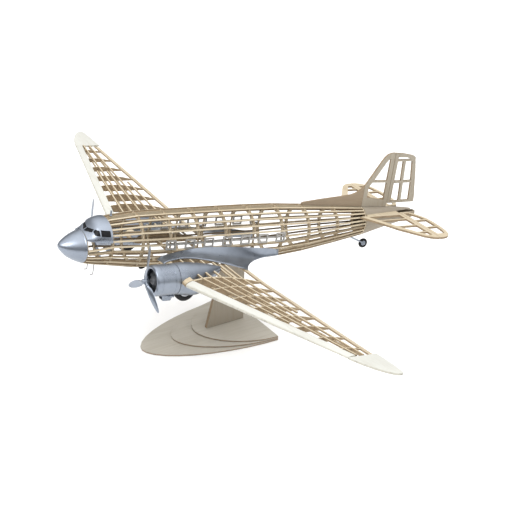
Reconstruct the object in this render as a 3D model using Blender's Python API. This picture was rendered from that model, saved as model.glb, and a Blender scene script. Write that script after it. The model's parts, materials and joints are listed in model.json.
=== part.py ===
"""Skeleton display model of a 1930s twin-engined low-wing airliner on a layered wooden stand.

The airframe is drawn level in its own frame: nose tip at the origin, +X to port, +Y aft, +Z up.
One empty then pitches it nose up and sets it above the stand. Every size is in metres.
"""
import math

import bmesh
import bpy
from mathutils import Matrix, Vector

MM = 0.001

# ---------------------------------------------------------------- fits
CLEAR = 0.3 * MM            # gap between pieces that touch
RUNNING = 0.1 * MM          # radial clearance of a shaft in its bore
HINGE_GAP = 0.5 * MM        # gap beside a control surface

# ---------------------------------------------------------------- pose on the stand
PITCH = math.radians(9.87)
NOSE_HEIGHT = 199.4 * MM    # nose tip above the table
NOSE_FORWARD = 300.6 * MM   # nose tip ahead of the middle of the whole length

# ---------------------------------------------------------------- stand
BASE_LAYER = 2.1 * MM
BASE_HALF_WIDTH = 75 * MM
BASE_BACK = 303 * MM        # straight back edge, behind the nose tip
BASE_CURVE = 1.8            # 2 is an ellipse, less is more pointed
BASE_LENGTHS = (("lower", 185 * MM), ("middle", 134 * MM), ("upper", 98 * MM))
PYLON_THICKNESS = 6 * MM
PYLON_FOOT = (223.5 * MM, 286.5 * MM)
PYLON_HEAD = (267 * MM, 303 * MM)

# ---------------------------------------------------------------- wood stock
SHEET = 1.6 * MM
STRINGER = 2.4 * MM
KEEL_WIDTH = 1.8 * MM
KEEL_DEPTH = 5 * MM
RING_DEPTH = 6.8 * MM
FORMER_INSET = 0.35 * MM
PLASTIC = 1.0 * MM

# ---------------------------------------------------------------- body: station, half width, top, bottom
BODY = [
    (0, 0, -1, -1), (4, 8.2, 4.8, -8.6), (11, 15, 9.7, -15.6), (22, 22.2, 15.4, -22), (33, 27, 19.6, -26),
    (50, 32, 28.5, -29.3), (66, 34.6, 36.5, -31.5), (94, 37, 40, -36), (125, 37.8, 40.8, -39.8),
    (170, 38, 40.9, -41.5), (290, 38, 40.2, -41.8), (340, 37.2, 38.9, -41), (388, 34.5, 35.8, -36),
    (444, 28, 31.5, -28), (500, 20, 26.8, -19.5), (547, 13.5, 24, -9), (585, 8, 21, -1), (610, 3.5, 17, 5),
]
BODY_CURVE = [(math.sqrt(row[0]),) + row[1:] for row in BODY]
NOSE_END = 32 * MM
CANOPY_END = 65 * MM
CANOPY_EDGE = 11.4 * MM
CANOPY_TOP = [(32, 19.4), (36, 21.2), (39, 22.8), (42, 25.8), (45, 29.8), (48, 32.8), (52, 34.9), (58, 36.5), (66, 37.2)]
FORMERS = [station * MM for station in (66, 111, 154, 198, 243, 290, 339, 388, 444)]
NOSE_BENDS = [station * MM for station in (40, 50)]
TAIL_FORMER = 500 * MM
KEEL_ANGLES = {"top": 0, "bottom": 180, "left": 97.5, "right": -97.5}
UPPER_STRINGERS = (15, 30, 44, 58, 71.5)
WINDOW_STRINGER = 84
LOWER_STRINGERS = (111, 127, 145, 163)

WINDOW_COUNT = 7
WINDOW_PITCH = 30.3 * MM
WINDOW_FIRST = 152.5 * MM
WINDOW_LENGTH = 15.4 * MM
WINDOW_HEIGHT = 13.6 * MM
WINDOW_RIM = 2.0 * MM
WINDOW_ANGLE = 84.6
WINDOW_DEPTH = 2.2 * MM

# ---------------------------------------------------------------- wing
WING_ROOT = 118 * MM
WING_TIP = 452 * MM
WING_BODY = 40.5 * MM
TIP_SHEET = 392 * MM
LE_ROOT = 134 * MM
LE_SWEEP = 0.2525
TE_ROOT = 262 * MM
TE_SWEEP = -0.059
WING_Z = -20 * MM
DIHEDRAL = 0.0727
INCIDENCE = 0.06
THICKNESS = 0.145
CAMBER = 0.022
LE_STRIP = 11 * MM
TE_STRIP = 9 * MM
RIB_PITCH = 35.8 * MM
RIB_DROP = 0.4 * MM
WING_STICK = 2.2 * MM
TOP_STICKS = ((0.20, 282), (0.31, 391), (0.43, 282), (0.56, 391), (0.70, 246))
LOW_STICKS = ((0.31, 391), (0.56, 391))
CARRIERS = (170 * MM, 216 * MM)
CARRIER_HEIGHT = 4.4 * MM
CARRIER_WIDTH = 3 * MM
CARRIER_Z = -19.7 * MM

# ---------------------------------------------------------------- engines
ENGINE_X = 88 * MM
ENGINE_Z = -22.8 * MM
COWL_FRONT = 98 * MM
COWL_END = 133 * MM
COWL_RADIUS = 21.3 * MM
NACELLE = [(133, 21.3, -1.5, -44.1), (145, 21.6, -1.3, -45.6), (158, 21.2, -2.2, -47.6), (170, 19, -3.7, -46.6),
           (182, 14.5, -5.5, -36), (194, 8.5, -8, -27), (204, 3, -10.5, -19)]
PROP_STATION = 90.5 * MM
PROP_RADIUS = 51.5 * MM
SHAFT_RADIUS = 1.1 * MM
BLADES = 3
CYLINDERS = 9

# ---------------------------------------------------------------- wheels
WHEEL_STATION = 152.5 * MM
WHEEL_Z = -40.5 * MM
TYRE_RADIUS = 16 * MM
TYRE_WIDTH = 11 * MM
RIM_RADIUS = 8.4 * MM
AXLE_RADIUS = 1.2 * MM
TAIL_WHEEL = Vector((0, 518 * MM, -35 * MM))
TAIL_TYRE_RADIUS = 7.6 * MM
TAIL_AXLE_RADIUS = 0.8 * MM

# ---------------------------------------------------------------- tail
TAIL_SHEET = 3 * MM
STAB_Z = 17 * MM
HINGE_STATION = 567 * MM
STAB_ROOT = 485 * MM
STAB_TIP = 117.5 * MM
NOSE_LAP = 0.3 * MM         # how far a control surface's sheet reaches over its rounded edge
NOSE_RADIUS = TAIL_SHEET / 2 - 0.05 * MM
RUDDER_HINGE = 548.5 * MM


# ================================================================ materials and meshes
def material(name, colour, roughness, metallic=0.0):
    """Return a named Principled material."""
    found = bpy.data.materials.get(name)
    if found:
        return found
    made = bpy.data.materials.new(name)
    made.use_nodes = True
    shader = made.node_tree.nodes["Principled BSDF"]
    shader.inputs["Base Color"].default_value = (*colour, 1)
    shader.inputs["Roughness"].default_value = roughness
    shader.inputs["Metallic"].default_value = metallic
    made.diffuse_color = (*colour, 1)
    return made


def balsa():
    return material("balsa", (0.80, 0.66, 0.46), 0.75)


def plywood():
    return material("stand_plywood", (0.68, 0.62, 0.54), 0.6)


def silver():
    return material("silver_plastic", (0.50, 0.53, 0.58), 0.35, 0.3)


def rubber():
    return material("black_rubber", (0.02, 0.02, 0.02), 0.7)


def black_plastic():
    return material("black_plastic", (0.03, 0.03, 0.035), 0.3)


def grey_plastic():
    return material("grey_plastic", (0.36, 0.38, 0.40), 0.5)


def wire():
    return material("steel_wire", (0.45, 0.45, 0.46), 0.3, 0.9)


def skin(bm, first, second):
    """Join two loops of vertices with quads, or with a fan where one of them is a single point."""
    if len(first) == 1 or len(second) == 1:
        point, loop = (first[0], second) if len(first) == 1 else (second[0], first)
        for one, two in zip(loop, loop[1:] + loop[:1]):
            bm.faces.new((point, one, two))
        return
    count = len(first)
    for i in range(count):
        j = (i + 1) % count
        bm.faces.new((first[i], first[j], second[j], second[i]))


def ring_mesh(name, rings, wrap=False):
    """Return a closed mesh that runs through the rings, capped at its ends or joined end to end."""
    bm = bmesh.new()
    loops = [[bm.verts.new(point) for point in ring] for ring in rings]
    for first, second in zip(loops, loops[1:]):
        skin(bm, first, second)
    if wrap:
        skin(bm, loops[-1], loops[0])
    else:
        for loop in (loops[0], loops[-1]):
            if len(loop) > 2:
                bm.faces.new(loop)
    return finished_mesh(bm, name)


def plate_mesh(name, outlines, thickness, place):
    """Return a flat plate: the first outline with the others as openings, put in space by place(u, v, w)."""
    bm = bmesh.new()
    for outline in outlines:
        loop = [bm.verts.new((u, v, 0)) for u, v in outline]
        for one, two in zip(loop, loop[1:] + loop[:1]):
            bm.edges.new((one, two))
    bmesh.ops.triangle_fill(bm, edges=bm.edges[:], use_beauty=True)
    grown = bmesh.ops.extrude_face_region(bm, geom=bm.faces[:])["geom"]
    top = [item for item in grown if isinstance(item, bmesh.types.BMVert)]
    bmesh.ops.translate(bm, verts=top, vec=(0, 0, thickness))
    for vertex in bm.verts:
        vertex.co = place(*vertex.co)
    return finished_mesh(bm, name)


def finished_mesh(bm, name):
    """Turn the faces outwards and return the mesh."""
    bmesh.ops.recalc_face_normals(bm, faces=bm.faces[:])
    mesh = bpy.data.meshes.new(name)
    bm.to_mesh(mesh)
    bm.free()
    return mesh


def add(name, mesh, finish, parent=None, smooth=None, location=(0, 0, 0)):
    """Add a named object with its material, shaded smooth up to an angle in degrees if one is given."""
    mesh.name = name
    mesh.materials.clear()
    mesh.materials.append(finish)
    piece = bpy.data.objects.new(name, mesh)
    bpy.context.scene.collection.objects.link(piece)
    piece.location = location
    piece.parent = parent
    if smooth:
        mesh.shade_smooth()
        mesh.set_sharp_from_angle(angle=math.radians(smooth))
    return piece


def boolean(piece, tools, operation):
    """Apply one exact Boolean of a piece with several tools, and delete the tools."""
    group = bpy.data.collections.new("tools")
    for tool in tools:
        tool.parent = None
        group.objects.link(tool)
    modifier = piece.modifiers.new("Join", "BOOLEAN")
    modifier.operation = operation
    modifier.operand_type = "COLLECTION"
    modifier.collection = group
    modifier.solver = "EXACT"
    bpy.context.view_layer.update()
    depsgraph = bpy.context.evaluated_depsgraph_get()
    result = bpy.data.meshes.new_from_object(piece.evaluated_get(depsgraph))
    piece.modifiers.clear()
    piece.data = result
    for tool in tools:
        bpy.data.objects.remove(tool)
    bpy.data.collections.remove(group)


def fuse(name, meshes, finish, parent=None, cuts=(), smooth=None, location=(0, 0, 0)):
    """Glue several meshes into one solid, cut others away, and add it as a named object."""
    pieces = [add(f"{name}_part", mesh, finish) for mesh in meshes]
    whole = pieces[0]
    if pieces[1:]:
        boolean(whole, pieces[1:], "UNION")
    if cuts:
        boolean(whole, [add(f"{name}_cut", mesh, finish) for mesh in cuts], "DIFFERENCE")
    mesh = whole.data
    bpy.data.objects.remove(whole)
    return add(name, mesh, finish, parent, smooth, location)


# ================================================================ simple solids
def box_mesh(low, high):
    """Return a box between two corners."""
    (x0, y0, z0), (x1, y1, z1) = low, high
    corners = [(x0, z0), (x1, z0), (x1, z1), (x0, z1)]
    return ring_mesh("box", [[(x, y, z) for x, z in corners] for y in (y0, y1)])


def turned_mesh(profile, centre, axis, count, wrap=False):
    """Return a solid turned about an axis through centre; profile rows are (along the axis, radius)."""
    turn = Vector((0, 0, 1)).rotation_difference(Vector(axis)).to_matrix()
    rings = []
    for along, radius in profile:
        steps = count if radius > 0 else 1
        angles = [2 * math.pi * i / steps for i in range(steps)]
        ring = [Vector((radius * math.cos(a), radius * math.sin(a), along)) for a in angles]
        rings.append([Vector(centre) + turn @ point for point in ring])
    return ring_mesh("turned", rings, wrap)


def rod_mesh(points, radius, count=8):
    """Return a round wire that runs straight from point to point."""
    points = [Vector(point) for point in points]
    rings = []
    for i, point in enumerate(points):
        ahead = points[min(i + 1, len(points) - 1)] - points[max(i - 1, 0)]
        turn = Vector((0, 0, 1)).rotation_difference(ahead.normalized()).to_matrix()
        angles = [2 * math.pi * k / count for k in range(count)]
        rings.append([point + turn @ Vector((radius * math.cos(a), radius * math.sin(a), 0)) for a in angles])
    return ring_mesh("rod", rings)


# ================================================================ body surface
def curve_values(rows, at):
    """Return the smooth values at a place along rows of (place, value, value...)."""
    last = len(rows) - 2
    i = max(k for k in range(last + 1) if k == 0 or rows[k][0] <= at)
    before, low, high, after = rows[max(i - 1, 0)], rows[i], rows[i + 1], rows[min(i + 2, last + 1)]
    span = high[0] - low[0]
    t = (at - low[0]) / span
    values = []
    for k in range(1, len(low)):
        slope_low = (high[k] - before[k]) / (high[0] - before[0]) * span
        slope_high = (after[k] - low[k]) / (after[0] - low[0]) * span
        values.append((2 * t ** 3 - 3 * t ** 2 + 1) * low[k] + (t ** 3 - 2 * t ** 2 + t) * slope_low
                      + (3 * t ** 2 - 2 * t ** 3) * high[k] + (t ** 3 - t ** 2) * slope_high)
    return values


def body_section(station):
    """Return the body's half width, middle height and half height at a station."""
    width, top, bottom = curve_values(BODY_CURVE, math.sqrt(max(station / MM, 0)))
    return width * MM, (top + bottom) / 2 * MM, (top - bottom) / 2 * MM


def body_frame(station, angle):
    """Return a point on the body's skin, the outward normal and the tangent; the angle runs from the top."""
    width, middle, height = body_section(station)
    turn = math.radians(angle)
    point = Vector((width * math.sin(turn), station, middle + height * math.cos(turn)))
    normal = Vector((math.sin(turn) / width, 0, math.cos(turn) / height)).normalized()
    return point, normal, Vector((normal.z, 0, -normal.x))


def body_point(station, angle, depth=0.0):
    """Return a point under the body's skin."""
    point, normal, _ = body_frame(station, angle)
    return point - depth * normal


def body_side(station, height):
    """Return the body's half width at a height."""
    width, middle, half = body_section(station)
    share = min(abs((height - middle) / half), 1)
    return width * math.sqrt(1 - share ** 2)


def body_loop(station, depth, count=20):
    """Return a closed loop under the body's skin."""
    return [body_point(station, 360 * i / count, depth) for i in range(count)]


def stick_stations(start, end):
    """Return the stations a stick is bent at: its ends and every former between them."""
    bends = [station for station in NOSE_BENDS + FORMERS if start + 2 * MM < station < end - 2 * MM]
    return [start] + bends + [end]


def body_stick(start, end, angle, width, depth, outer=0.0):
    """Return a square stick that follows the body's skin from one station to another."""
    rings = []
    for station in stick_stations(start, end):
        point, normal, tangent = body_frame(station, angle)
        corners = ((-1, outer), (1, outer), (1, depth), (-1, depth))
        rings.append([point + side * width / 2 * tangent - inset * normal for side, inset in corners])
    return ring_mesh("stick", rings)


# ================================================================ body skeleton
def former_notches(station):
    """Return the notches of a former: angle, half width and depth."""
    keels = [(angle, KEEL_WIDTH / 2 + CLEAR, KEEL_DEPTH + CLEAR) for angle in KEEL_ANGLES.values()]
    angles = [sign * angle for angle in UPPER_STRINGERS + LOWER_STRINGERS for sign in (1, -1)]
    sticks = [(angle, STRINGER / 2 + CLEAR, STRINGER + CLEAR) for angle in angles]
    for sign in (1, -1):
        if window_start() < station < window_end():
            sticks.append((sign * WINDOW_ANGLE, WINDOW_HEIGHT / 2 + CLEAR, 2 * WINDOW_DEPTH + CLEAR))
        else:
            sticks.append((sign * WINDOW_STRINGER, STRINGER / 2 + CLEAR, STRINGER + CLEAR))
    return sorted((angle % 360, half, depth) for angle, half, depth in keels + sticks)


def former_mesh(station):
    """Return a ring former, notched for the keels, the stringers and the window frames."""
    outline = []
    for angle, half, depth in former_notches(station):
        point, normal, tangent = body_frame(station, angle)
        edge = point - FORMER_INSET * normal
        floor = point - depth * normal
        outline += [edge - half * tangent, floor - half * tangent, floor + half * tangent, edge + half * tangent]
    outer = [(point.x, point.z) for point in outline]
    inner = [(point.x, point.z) for point in body_loop(station, RING_DEPTH)]
    front = station - SHEET / 2
    return plate_mesh("former", [outer, inner], SHEET, lambda u, v, w: (u, front + w, v))


def end_ring_mesh(station, depth):
    """Return a plain ring that the stringers are glued to."""
    outer, inner = ([(p.x, p.z) for p in body_loop(station, inset)] for inset in (depth, RING_DEPTH))
    return plate_mesh("ring", [outer, inner], SHEET, lambda u, v, w: (u, station + w, v))


def window_start():
    return WINDOW_FIRST - WINDOW_LENGTH / 2 - CLEAR


def window_end():
    return WINDOW_FIRST + (WINDOW_COUNT - 1) * WINDOW_PITCH + WINDOW_LENGTH / 2 + CLEAR


def build_cage(airframe):
    """Stringers glued to the nose former and the tail former."""
    nose_ring = NOSE_END + CLEAR
    behind_canopy = FORMERS[0] - SHEET / 2
    into_nose = nose_ring + SHEET / 2
    into_tail = TAIL_FORMER + SHEET / 2
    meshes = [end_ring_mesh(nose_ring, PLASTIC + CLEAR), end_ring_mesh(TAIL_FORMER, FORMER_INSET)]
    for sign in (1, -1):
        for angle in UPPER_STRINGERS:
            meshes.append(body_stick(behind_canopy, into_tail, sign * angle, STRINGER, STRINGER))
        for angle in LOWER_STRINGERS:
            meshes.append(body_stick(into_nose, into_tail, sign * angle, STRINGER, STRINGER))
        angle = sign * WINDOW_STRINGER
        meshes.append(body_stick(into_nose, window_start() - CLEAR, angle, STRINGER, STRINGER))
        meshes.append(body_stick(window_end() + CLEAR, into_tail, angle, STRINGER, STRINGER))
    fuse("fuselage_stringers", meshes, balsa(), airframe)


def build_formers(airframe):
    """Notched ring formers between the end formers."""
    for number, station in enumerate(FORMERS, 1):
        add(f"former_{number}", former_mesh(station), balsa(), airframe)


def build_keels(airframe):
    """Four keels let into the formers, between the end formers."""
    rear = TAIL_FORMER - CLEAR
    for name, angle in KEEL_ANGLES.items():
        front = FORMERS[0] - SHEET / 2 if name == "top" else NOSE_END + SHEET + 2 * CLEAR
        mesh = body_stick(front, rear, angle, KEEL_WIDTH, KEEL_DEPTH)
        add(f"keel_{name}", mesh, balsa(), airframe)


def window_frame_mesh(station, sign):
    """Return one square window frame, bent to the body's side."""
    def place(u, v, w):
        point, normal, _ = body_frame(station + u, sign * WINDOW_ANGLE)
        return point + Vector((0, 0, v)) - w * normal

    def square(length, height):
        return [(-length / 2, -height / 2), (length / 2, -height / 2), (length / 2, height / 2), (-length / 2, height / 2)]

    inner = square(WINDOW_LENGTH - 2 * WINDOW_RIM, WINDOW_HEIGHT - 2 * WINDOW_RIM)
    return plate_mesh("window", [square(WINDOW_LENGTH, WINDOW_HEIGHT), inner], WINDOW_DEPTH, place)


def build_windows(airframe):
    """A row of window frames on each side, glued to one strip."""
    for side, sign in (("left", 1), ("right", -1)):
        stations = [WINDOW_FIRST + i * WINDOW_PITCH for i in range(WINDOW_COUNT)]
        inset = WINDOW_RIM / 2
        start, end = window_start() + CLEAR + inset, window_end() - CLEAR - inset
        strip = body_stick(start, end, sign * WINDOW_ANGLE, STRINGER, 2 * WINDOW_DEPTH, WINDOW_DEPTH - CLEAR)
        frames = [window_frame_mesh(station, sign) for station in stations]
        fuse(f"window_frames_{side}", [strip] + frames, grey_plastic(), airframe)


# ================================================================ nose and cockpit
def build_nose(airframe):
    """Hollow nose cone, open at the back."""
    stations = [station * MM for station in (0.7, 3, 8, 15, 23)] + [NOSE_END]
    outer = [body_loop(station, 0) for station in reversed(stations)]
    inner = [body_loop(station, PLASTIC) for station in stations[2:]]
    tip_out = [Vector((0, 0, -1 * MM))]
    tip_in = [Vector((0, 3.2 * MM, -1 * MM))]
    rings = [tip_in] + inner + outer + [tip_out]
    add("nose_cone", ring_mesh("nose", rings), silver(), airframe, smooth=40)


def canopy_edge_angle(station):
    """Return the angle at which the canopy's lower edge lies."""
    _, middle, height = body_section(station)
    return math.degrees(math.acos((CANOPY_EDGE - middle) / height))


def canopy_point(station, share, depth):
    """Return a point of the canopy; share runs from -1 to 1 across it."""
    edge = canopy_edge_angle(station)
    point, normal, _ = body_frame(station, share * edge)
    _, middle, height = body_section(station)
    lift = curve_values(CANOPY_TOP, station / MM)[0] * MM - middle - height
    shoulder = math.sqrt(math.cos(share * math.pi / 2)) if abs(share) < 1 else 0
    return point + Vector((0, 0, max(lift, 0) * shoulder)) - depth * normal


def canopy_ring(station, low, high, reach=1.0, count=14):
    """Return one closed arch of the canopy between two depths."""
    shares = [reach * (2 * i / count - 1) for i in range(count + 1)]
    return ([canopy_point(station, share, low) for share in shares]
            + [canopy_point(station, share, high) for share in reversed(shares)])


def canopy_openings():
    """Return the solids that cut the windscreen panes and the side panes."""
    front, back = 30 * MM, 50 * MM
    screen = [(1.0, 20.8), (14.8, 21.4), (14.8, 26.2), (1.0, 25.0)]
    quarter = [(42.8, 21.4), (48.2, 20.4), (48.2, 25.8), (43.8, 26.4)]
    side = [(49.8, 19.7), (62.0, 19.8), (62.0, 26.7), (49.8, 26.9)]
    cuts = []
    for sign in (1, -1):
        outline = [(sign * x * MM, z * MM) for x, z in screen]
        cuts.append(plate_mesh("cut", [outline], back - front, lambda u, v, w: (u, front + w, v)))
        for pane in (quarter, side):
            outline = [(y * MM, z * MM) for y, z in pane]
            cuts.append(plate_mesh("cut", [outline], 24 * MM, lambda u, v, w: (sign * (16 * MM + w), u, v)))
    return cuts


def build_canopy(airframe):
    """Cockpit canopy with its window openings, and the dark glazing behind them."""
    stations = [station * MM for station in (35, 38, 41, 45, 51, 58)] + [CANOPY_END]
    shell = [canopy_ring(station, 0, PLASTIC) for station in [NOSE_END + CLEAR] + stations]
    fuse("cockpit_canopy", [ring_mesh("canopy", shell)], silver(), airframe, canopy_openings(), smooth=40)
    inner = PLASTIC + CLEAR
    outer = inner + PLASTIC
    ends = [NOSE_END + CLEAR + SHEET + CLEAR] + stations[1:-1] + [FORMERS[0] - SHEET / 2 - CLEAR]
    glazing = [canopy_ring(station, inner, outer, 0.86) for station in ends]
    add("cockpit_glazing", ring_mesh("glazing", glazing), black_plastic(), airframe, smooth=40)


def build_aerial_pod(airframe):
    """Streamlined aerial pod under the bottom keel."""
    profile = [(0, 0), (0.8, 1.5), (2.6, 2.4), (5.4, 2.3), (8.4, 1.3), (10.4, 0)]
    front = 127.4 * MM
    height = body_point(front, 180).z - CLEAR - 2.9 * MM
    rows = [(along * MM, radius * MM) for along, radius in profile]
    add("aerial_pod", turned_mesh(rows, (0, front, height), (0, 1, -0.03), 12), black_plastic(), airframe, smooth=60)


def build_masts(airframe):
    """Pitot masts under the nose and the aerial mast behind the canopy."""
    station = 52 * MM
    radius = 0.6 * MM
    low = -43 * MM
    for side, sign in (("left", 1), ("right", -1)):
        root = body_point(station, sign * LOWER_STRINGERS[-1], -CLEAR)
        path = [(root.x, station - 4.5 * MM, low), (root.x, station, low), root]
        add(f"pitot_mast_{side}", rod_mesh(mitred(path, radius), radius, 6), wire(), airframe, smooth=50)
    top = body_point(FORMERS[0] + 8 * MM, 0).z + CLEAR
    profile = [(0, 1.9 * MM), (1.2 * MM, 1.5 * MM), (6.2 * MM, 1.1 * MM), (7.2 * MM, 0.5 * MM)]
    mast = turned_mesh(profile, (0, FORMERS[0] + 8 * MM, top), (0, 0, 1), 10)
    add("aerial_mast", mast, silver(), airframe, smooth=50)


def mitred(path, radius):
    """Return the path with each corner cut short, so that a bent wire keeps its section."""
    points = [Vector(point) for point in path]
    result = [points[0]]
    for before, corner, after in zip(points, points[1:], points[2:]):
        result.append(corner + (before - corner).normalized() * 1.6 * radius)
        result.append(corner + (after - corner).normalized() * 1.6 * radius)
    return result + [points[-1]]


# ================================================================ wing surface
def wing_chord(x):
    """Return the leading edge, the chord length and the leading edge's height at a distance from the middle."""
    out = max(abs(x) - WING_ROOT, 0)
    lead = LE_ROOT + LE_SWEEP * out
    trail = TE_ROOT + TE_SWEEP * out
    return lead, trail - lead, WING_Z + DIHEDRAL * out


def wing_point(x, share, upper, inset=0.0):
    """Return a point of the wing's surface at a share of the chord."""
    lead, chord, height = wing_chord(x)
    half = 5 * THICKNESS * (0.2969 * math.sqrt(share) - 0.126 * share - 0.3516 * share ** 2
                            + 0.2843 * share ** 3 - 0.1036 * share ** 4)
    arch = CAMBER * 4 * share * (1 - share)
    surface = arch + half if upper else arch - 0.75 * half
    sign = 1 if upper else -1
    return Vector((x, lead + share * chord, height - INCIDENCE * share * chord + surface * chord - sign * inset))


def wing_top(x, station):
    """Return the height of the wing's upper surface at a station."""
    lead, chord, _ = wing_chord(x)
    return wing_point(x, min(max((station - lead) / chord, 0), 1), True).z


def rib_outline(x):
    """Return a rib between the leading edge strip and the trailing edge strip."""
    _, chord, _ = wing_chord(x)
    first = (LE_STRIP + CLEAR) / chord
    last = 1 - (TE_STRIP / 2) / chord
    shares = [first + (last - first) * i / 6 for i in range(7)]
    upper = [wing_point(x, share, True, RIB_DROP) for share in shares]
    lower = [wing_point(x, share, False, RIB_DROP) for share in reversed(shares[::2])]
    return [(point.y, point.z) for point in upper + lower]


def rib_mesh(x):
    return plate_mesh("rib", [rib_outline(x)], SHEET, lambda u, v, w: (x + w - SHEET / 2, u, v))


def span_stick(start, end, share, upper):
    """Return a straight square stick along the wing, flush with its surface."""
    rings = []
    for x in (start, end):
        edge = wing_point(x, share, upper)
        into = -WING_STICK if upper else WING_STICK
        half = WING_STICK / 2
        rings.append([edge + Vector((0, dy, dz)) for dy, dz in ((-half, 0), (half, 0), (half, into), (-half, into))])
    return ring_mesh("stick", rings)


def strip_mesh(start, end, shares_at):
    """Return a strip of the wing's section between two distances from the middle."""
    rings = []
    for x in (start, end):
        shares = shares_at(x)
        upper = [wing_point(x, share, True) for share in shares]
        lower = [wing_point(x, share, False) for share in reversed(shares) if share > 0]
        rings.append(upper + lower)
    return ring_mesh("strip", rings)


def leading_shares(x):
    _, chord, _ = wing_chord(x)
    return [LE_STRIP / chord * part for part in (0, 0.05, 0.2, 0.5, 1)]


def trailing_shares(x):
    _, chord, _ = wing_chord(x)
    return [1 - TE_STRIP / chord * part for part in (1, 0.5, 0)]


def build_wing(airframe, side, sign):
    """One outer wing panel: leading edge, ribs with spars and trailing edge, and tip."""
    root, tip = sign * (WING_ROOT + CLEAR), sign * (TIP_SHEET - CLEAR)
    leading = strip_mesh(root, tip, leading_shares)
    add(f"wing_leading_edge_{side}", leading, balsa(), airframe, smooth=35)
    count = int((TIP_SHEET - WING_ROOT) / RIB_PITCH) + 1
    first = WING_ROOT + CLEAR + SHEET / 2
    meshes = [strip_mesh(root, tip, trailing_shares)]
    meshes += [rib_mesh(sign * (first + i * RIB_PITCH)) for i in range(count)]
    inner = sign * (first - SHEET / 4)
    for upper, sticks in ((True, TOP_STICKS), (False, LOW_STICKS)):
        for share, reach in sticks:
            end = min(reach * MM, TIP_SHEET - CLEAR)
            meshes.append(span_stick(inner, sign * end, share, upper))
    fuse(f"wing_frame_{side}", meshes, balsa(), airframe)
    build_tip(airframe, side, sign)


def tip_outline():
    """Return the rounded outline of the tip sheet, in distance from the middle and station."""
    lead, chord, _ = wing_chord(TIP_SHEET)
    trail = lead + chord
    nose = trail - 8 * MM
    length = WING_TIP - TIP_SHEET
    bend = nose - lead - LE_SWEEP * length
    front, back = [], []
    for i in range(9):
        turn = math.pi / 2 * i / 8
        out = length * math.sin(turn)
        front.append((TIP_SHEET + out, lead + LE_SWEEP * out + bend * (1 - math.cos(turn))))
        back.append((TIP_SHEET + out, nose + (trail - nose) * math.cos(turn) ** 0.6))
    return front + back[-2::-1]


def build_tip(airframe, side, sign):
    """Solid sheet wing tip."""
    thickness = 3.2 * MM

    def place(u, v, w):
        _, _, height = wing_chord(u)
        return (sign * u, v, height + w - thickness / 2)

    add(f"wing_tip_{side}", plate_mesh("tip", [tip_outline()], thickness, place), balsa(), airframe)


# ================================================================ centre section and fillets
def nacelle_loop(station, inset, sign, count=20):
    """Return a closed loop of the nacelle's section."""
    width, top, bottom = curve_values(NACELLE, max(station / MM, NACELLE[0][0]))
    middle, height = (top + bottom) / 2 * MM, (top - bottom) / 2 * MM - inset
    width = width * MM - inset
    turns = [2 * math.pi * i / count for i in range(count)]
    return [Vector((sign * ENGINE_X + width * math.sin(t), station, middle + height * math.cos(t))) for t in turns]


def nacelle_stations():
    return [COWL_END + CLEAR] + [row[0] * MM for row in NACELLE[1:-1]]


def nacelle_envelope(sign):
    """Return the space that a nacelle and its cowl take up, with the clearance around it."""
    last = NACELLE[-1][0] * MM
    rings = [nacelle_loop(station, -2 * CLEAR, sign) for station in [COWL_FRONT] + nacelle_stations() + [last]]
    rings.append([Vector((sign * ENGINE_X, last + 2 * MM, rings[-1][0].z - 2 * MM))])
    return ring_mesh("envelope", rings)


def build_centre_section(airframe):
    """One-piece centre section: ribs, sticks and edges on both sides, joined by two spars through the body."""
    meshes = []
    outer = WING_ROOT - SHEET / 2
    inner = WING_BODY + SHEET / 2
    for station in CARRIERS:
        low = (-outer, station - CARRIER_WIDTH / 2, CARRIER_Z - CARRIER_HEIGHT / 2)
        high = (outer, station + CARRIER_WIDTH / 2, CARRIER_Z + CARRIER_HEIGHT / 2)
        meshes.append(box_mesh(low, high))
    for sign in (1, -1):
        meshes += [rib_mesh(sign * x) for x in (inner, outer)]
        for share in (0.2, 0.31, 0.43, 0.56, 0.70):
            meshes.append(span_stick(sign * (inner - SHEET / 4), sign * (outer + SHEET / 4), share, True))
        meshes.append(span_stick(sign * (inner - SHEET / 4), sign * (outer + SHEET / 4), 0.45, False))
        ends = sign * WING_BODY, sign * WING_ROOT
        meshes.append(strip_mesh(*ends, trailing_shares))
        meshes.append(strip_mesh(*ends, lambda x: leading_shares(x)[:-1] + [(LE_STRIP + 2 * CLEAR) / wing_chord(x)[1]]))
    cuts = [nacelle_envelope(sign) for sign in (1, -1)]
    fuse("wing_centre_section", meshes, balsa(), airframe, cuts)


FILLET_INNER = [(135.6, -19.0), (137.5, -14.0), (142, -11.6), (158, -8.6), (175, -5.4), (198, -3.6), (225, -4.4),
                (250, -6.6), (268, -8.6), (290, -11.2), (312, -14.2), (336, -18.2)]
FILLET_OUTER = [(54, 135.6), (54, 137.3), (54, 142), (54, 160), (57, 178), (64, 202), (72, 228), (77, 258.5),
                (60, 269), (45, 288), (37.5, 311), (36, 336)]


def fillet_rails():
    """Return the inner and the outer edge of the port fillet."""
    rise = PLASTIC + CLEAR
    inner, outer = [], []
    for (station, height), (x, across) in zip(FILLET_INNER, FILLET_OUTER):
        start = Vector((body_side(station * MM, height * MM) + CLEAR, station * MM, height * MM))
        end = Vector((x * MM, across * MM, wing_top(x * MM, across * MM) + rise))
        if across * MM < LE_ROOT:
            end.z = height * MM
        if across * MM > TE_ROOT:
            end.x = max(end.x, body_side(end.y, end.z) + 2 * CLEAR)
        inner.append(start)
        outer.append(end)
    return inner, outer


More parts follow.
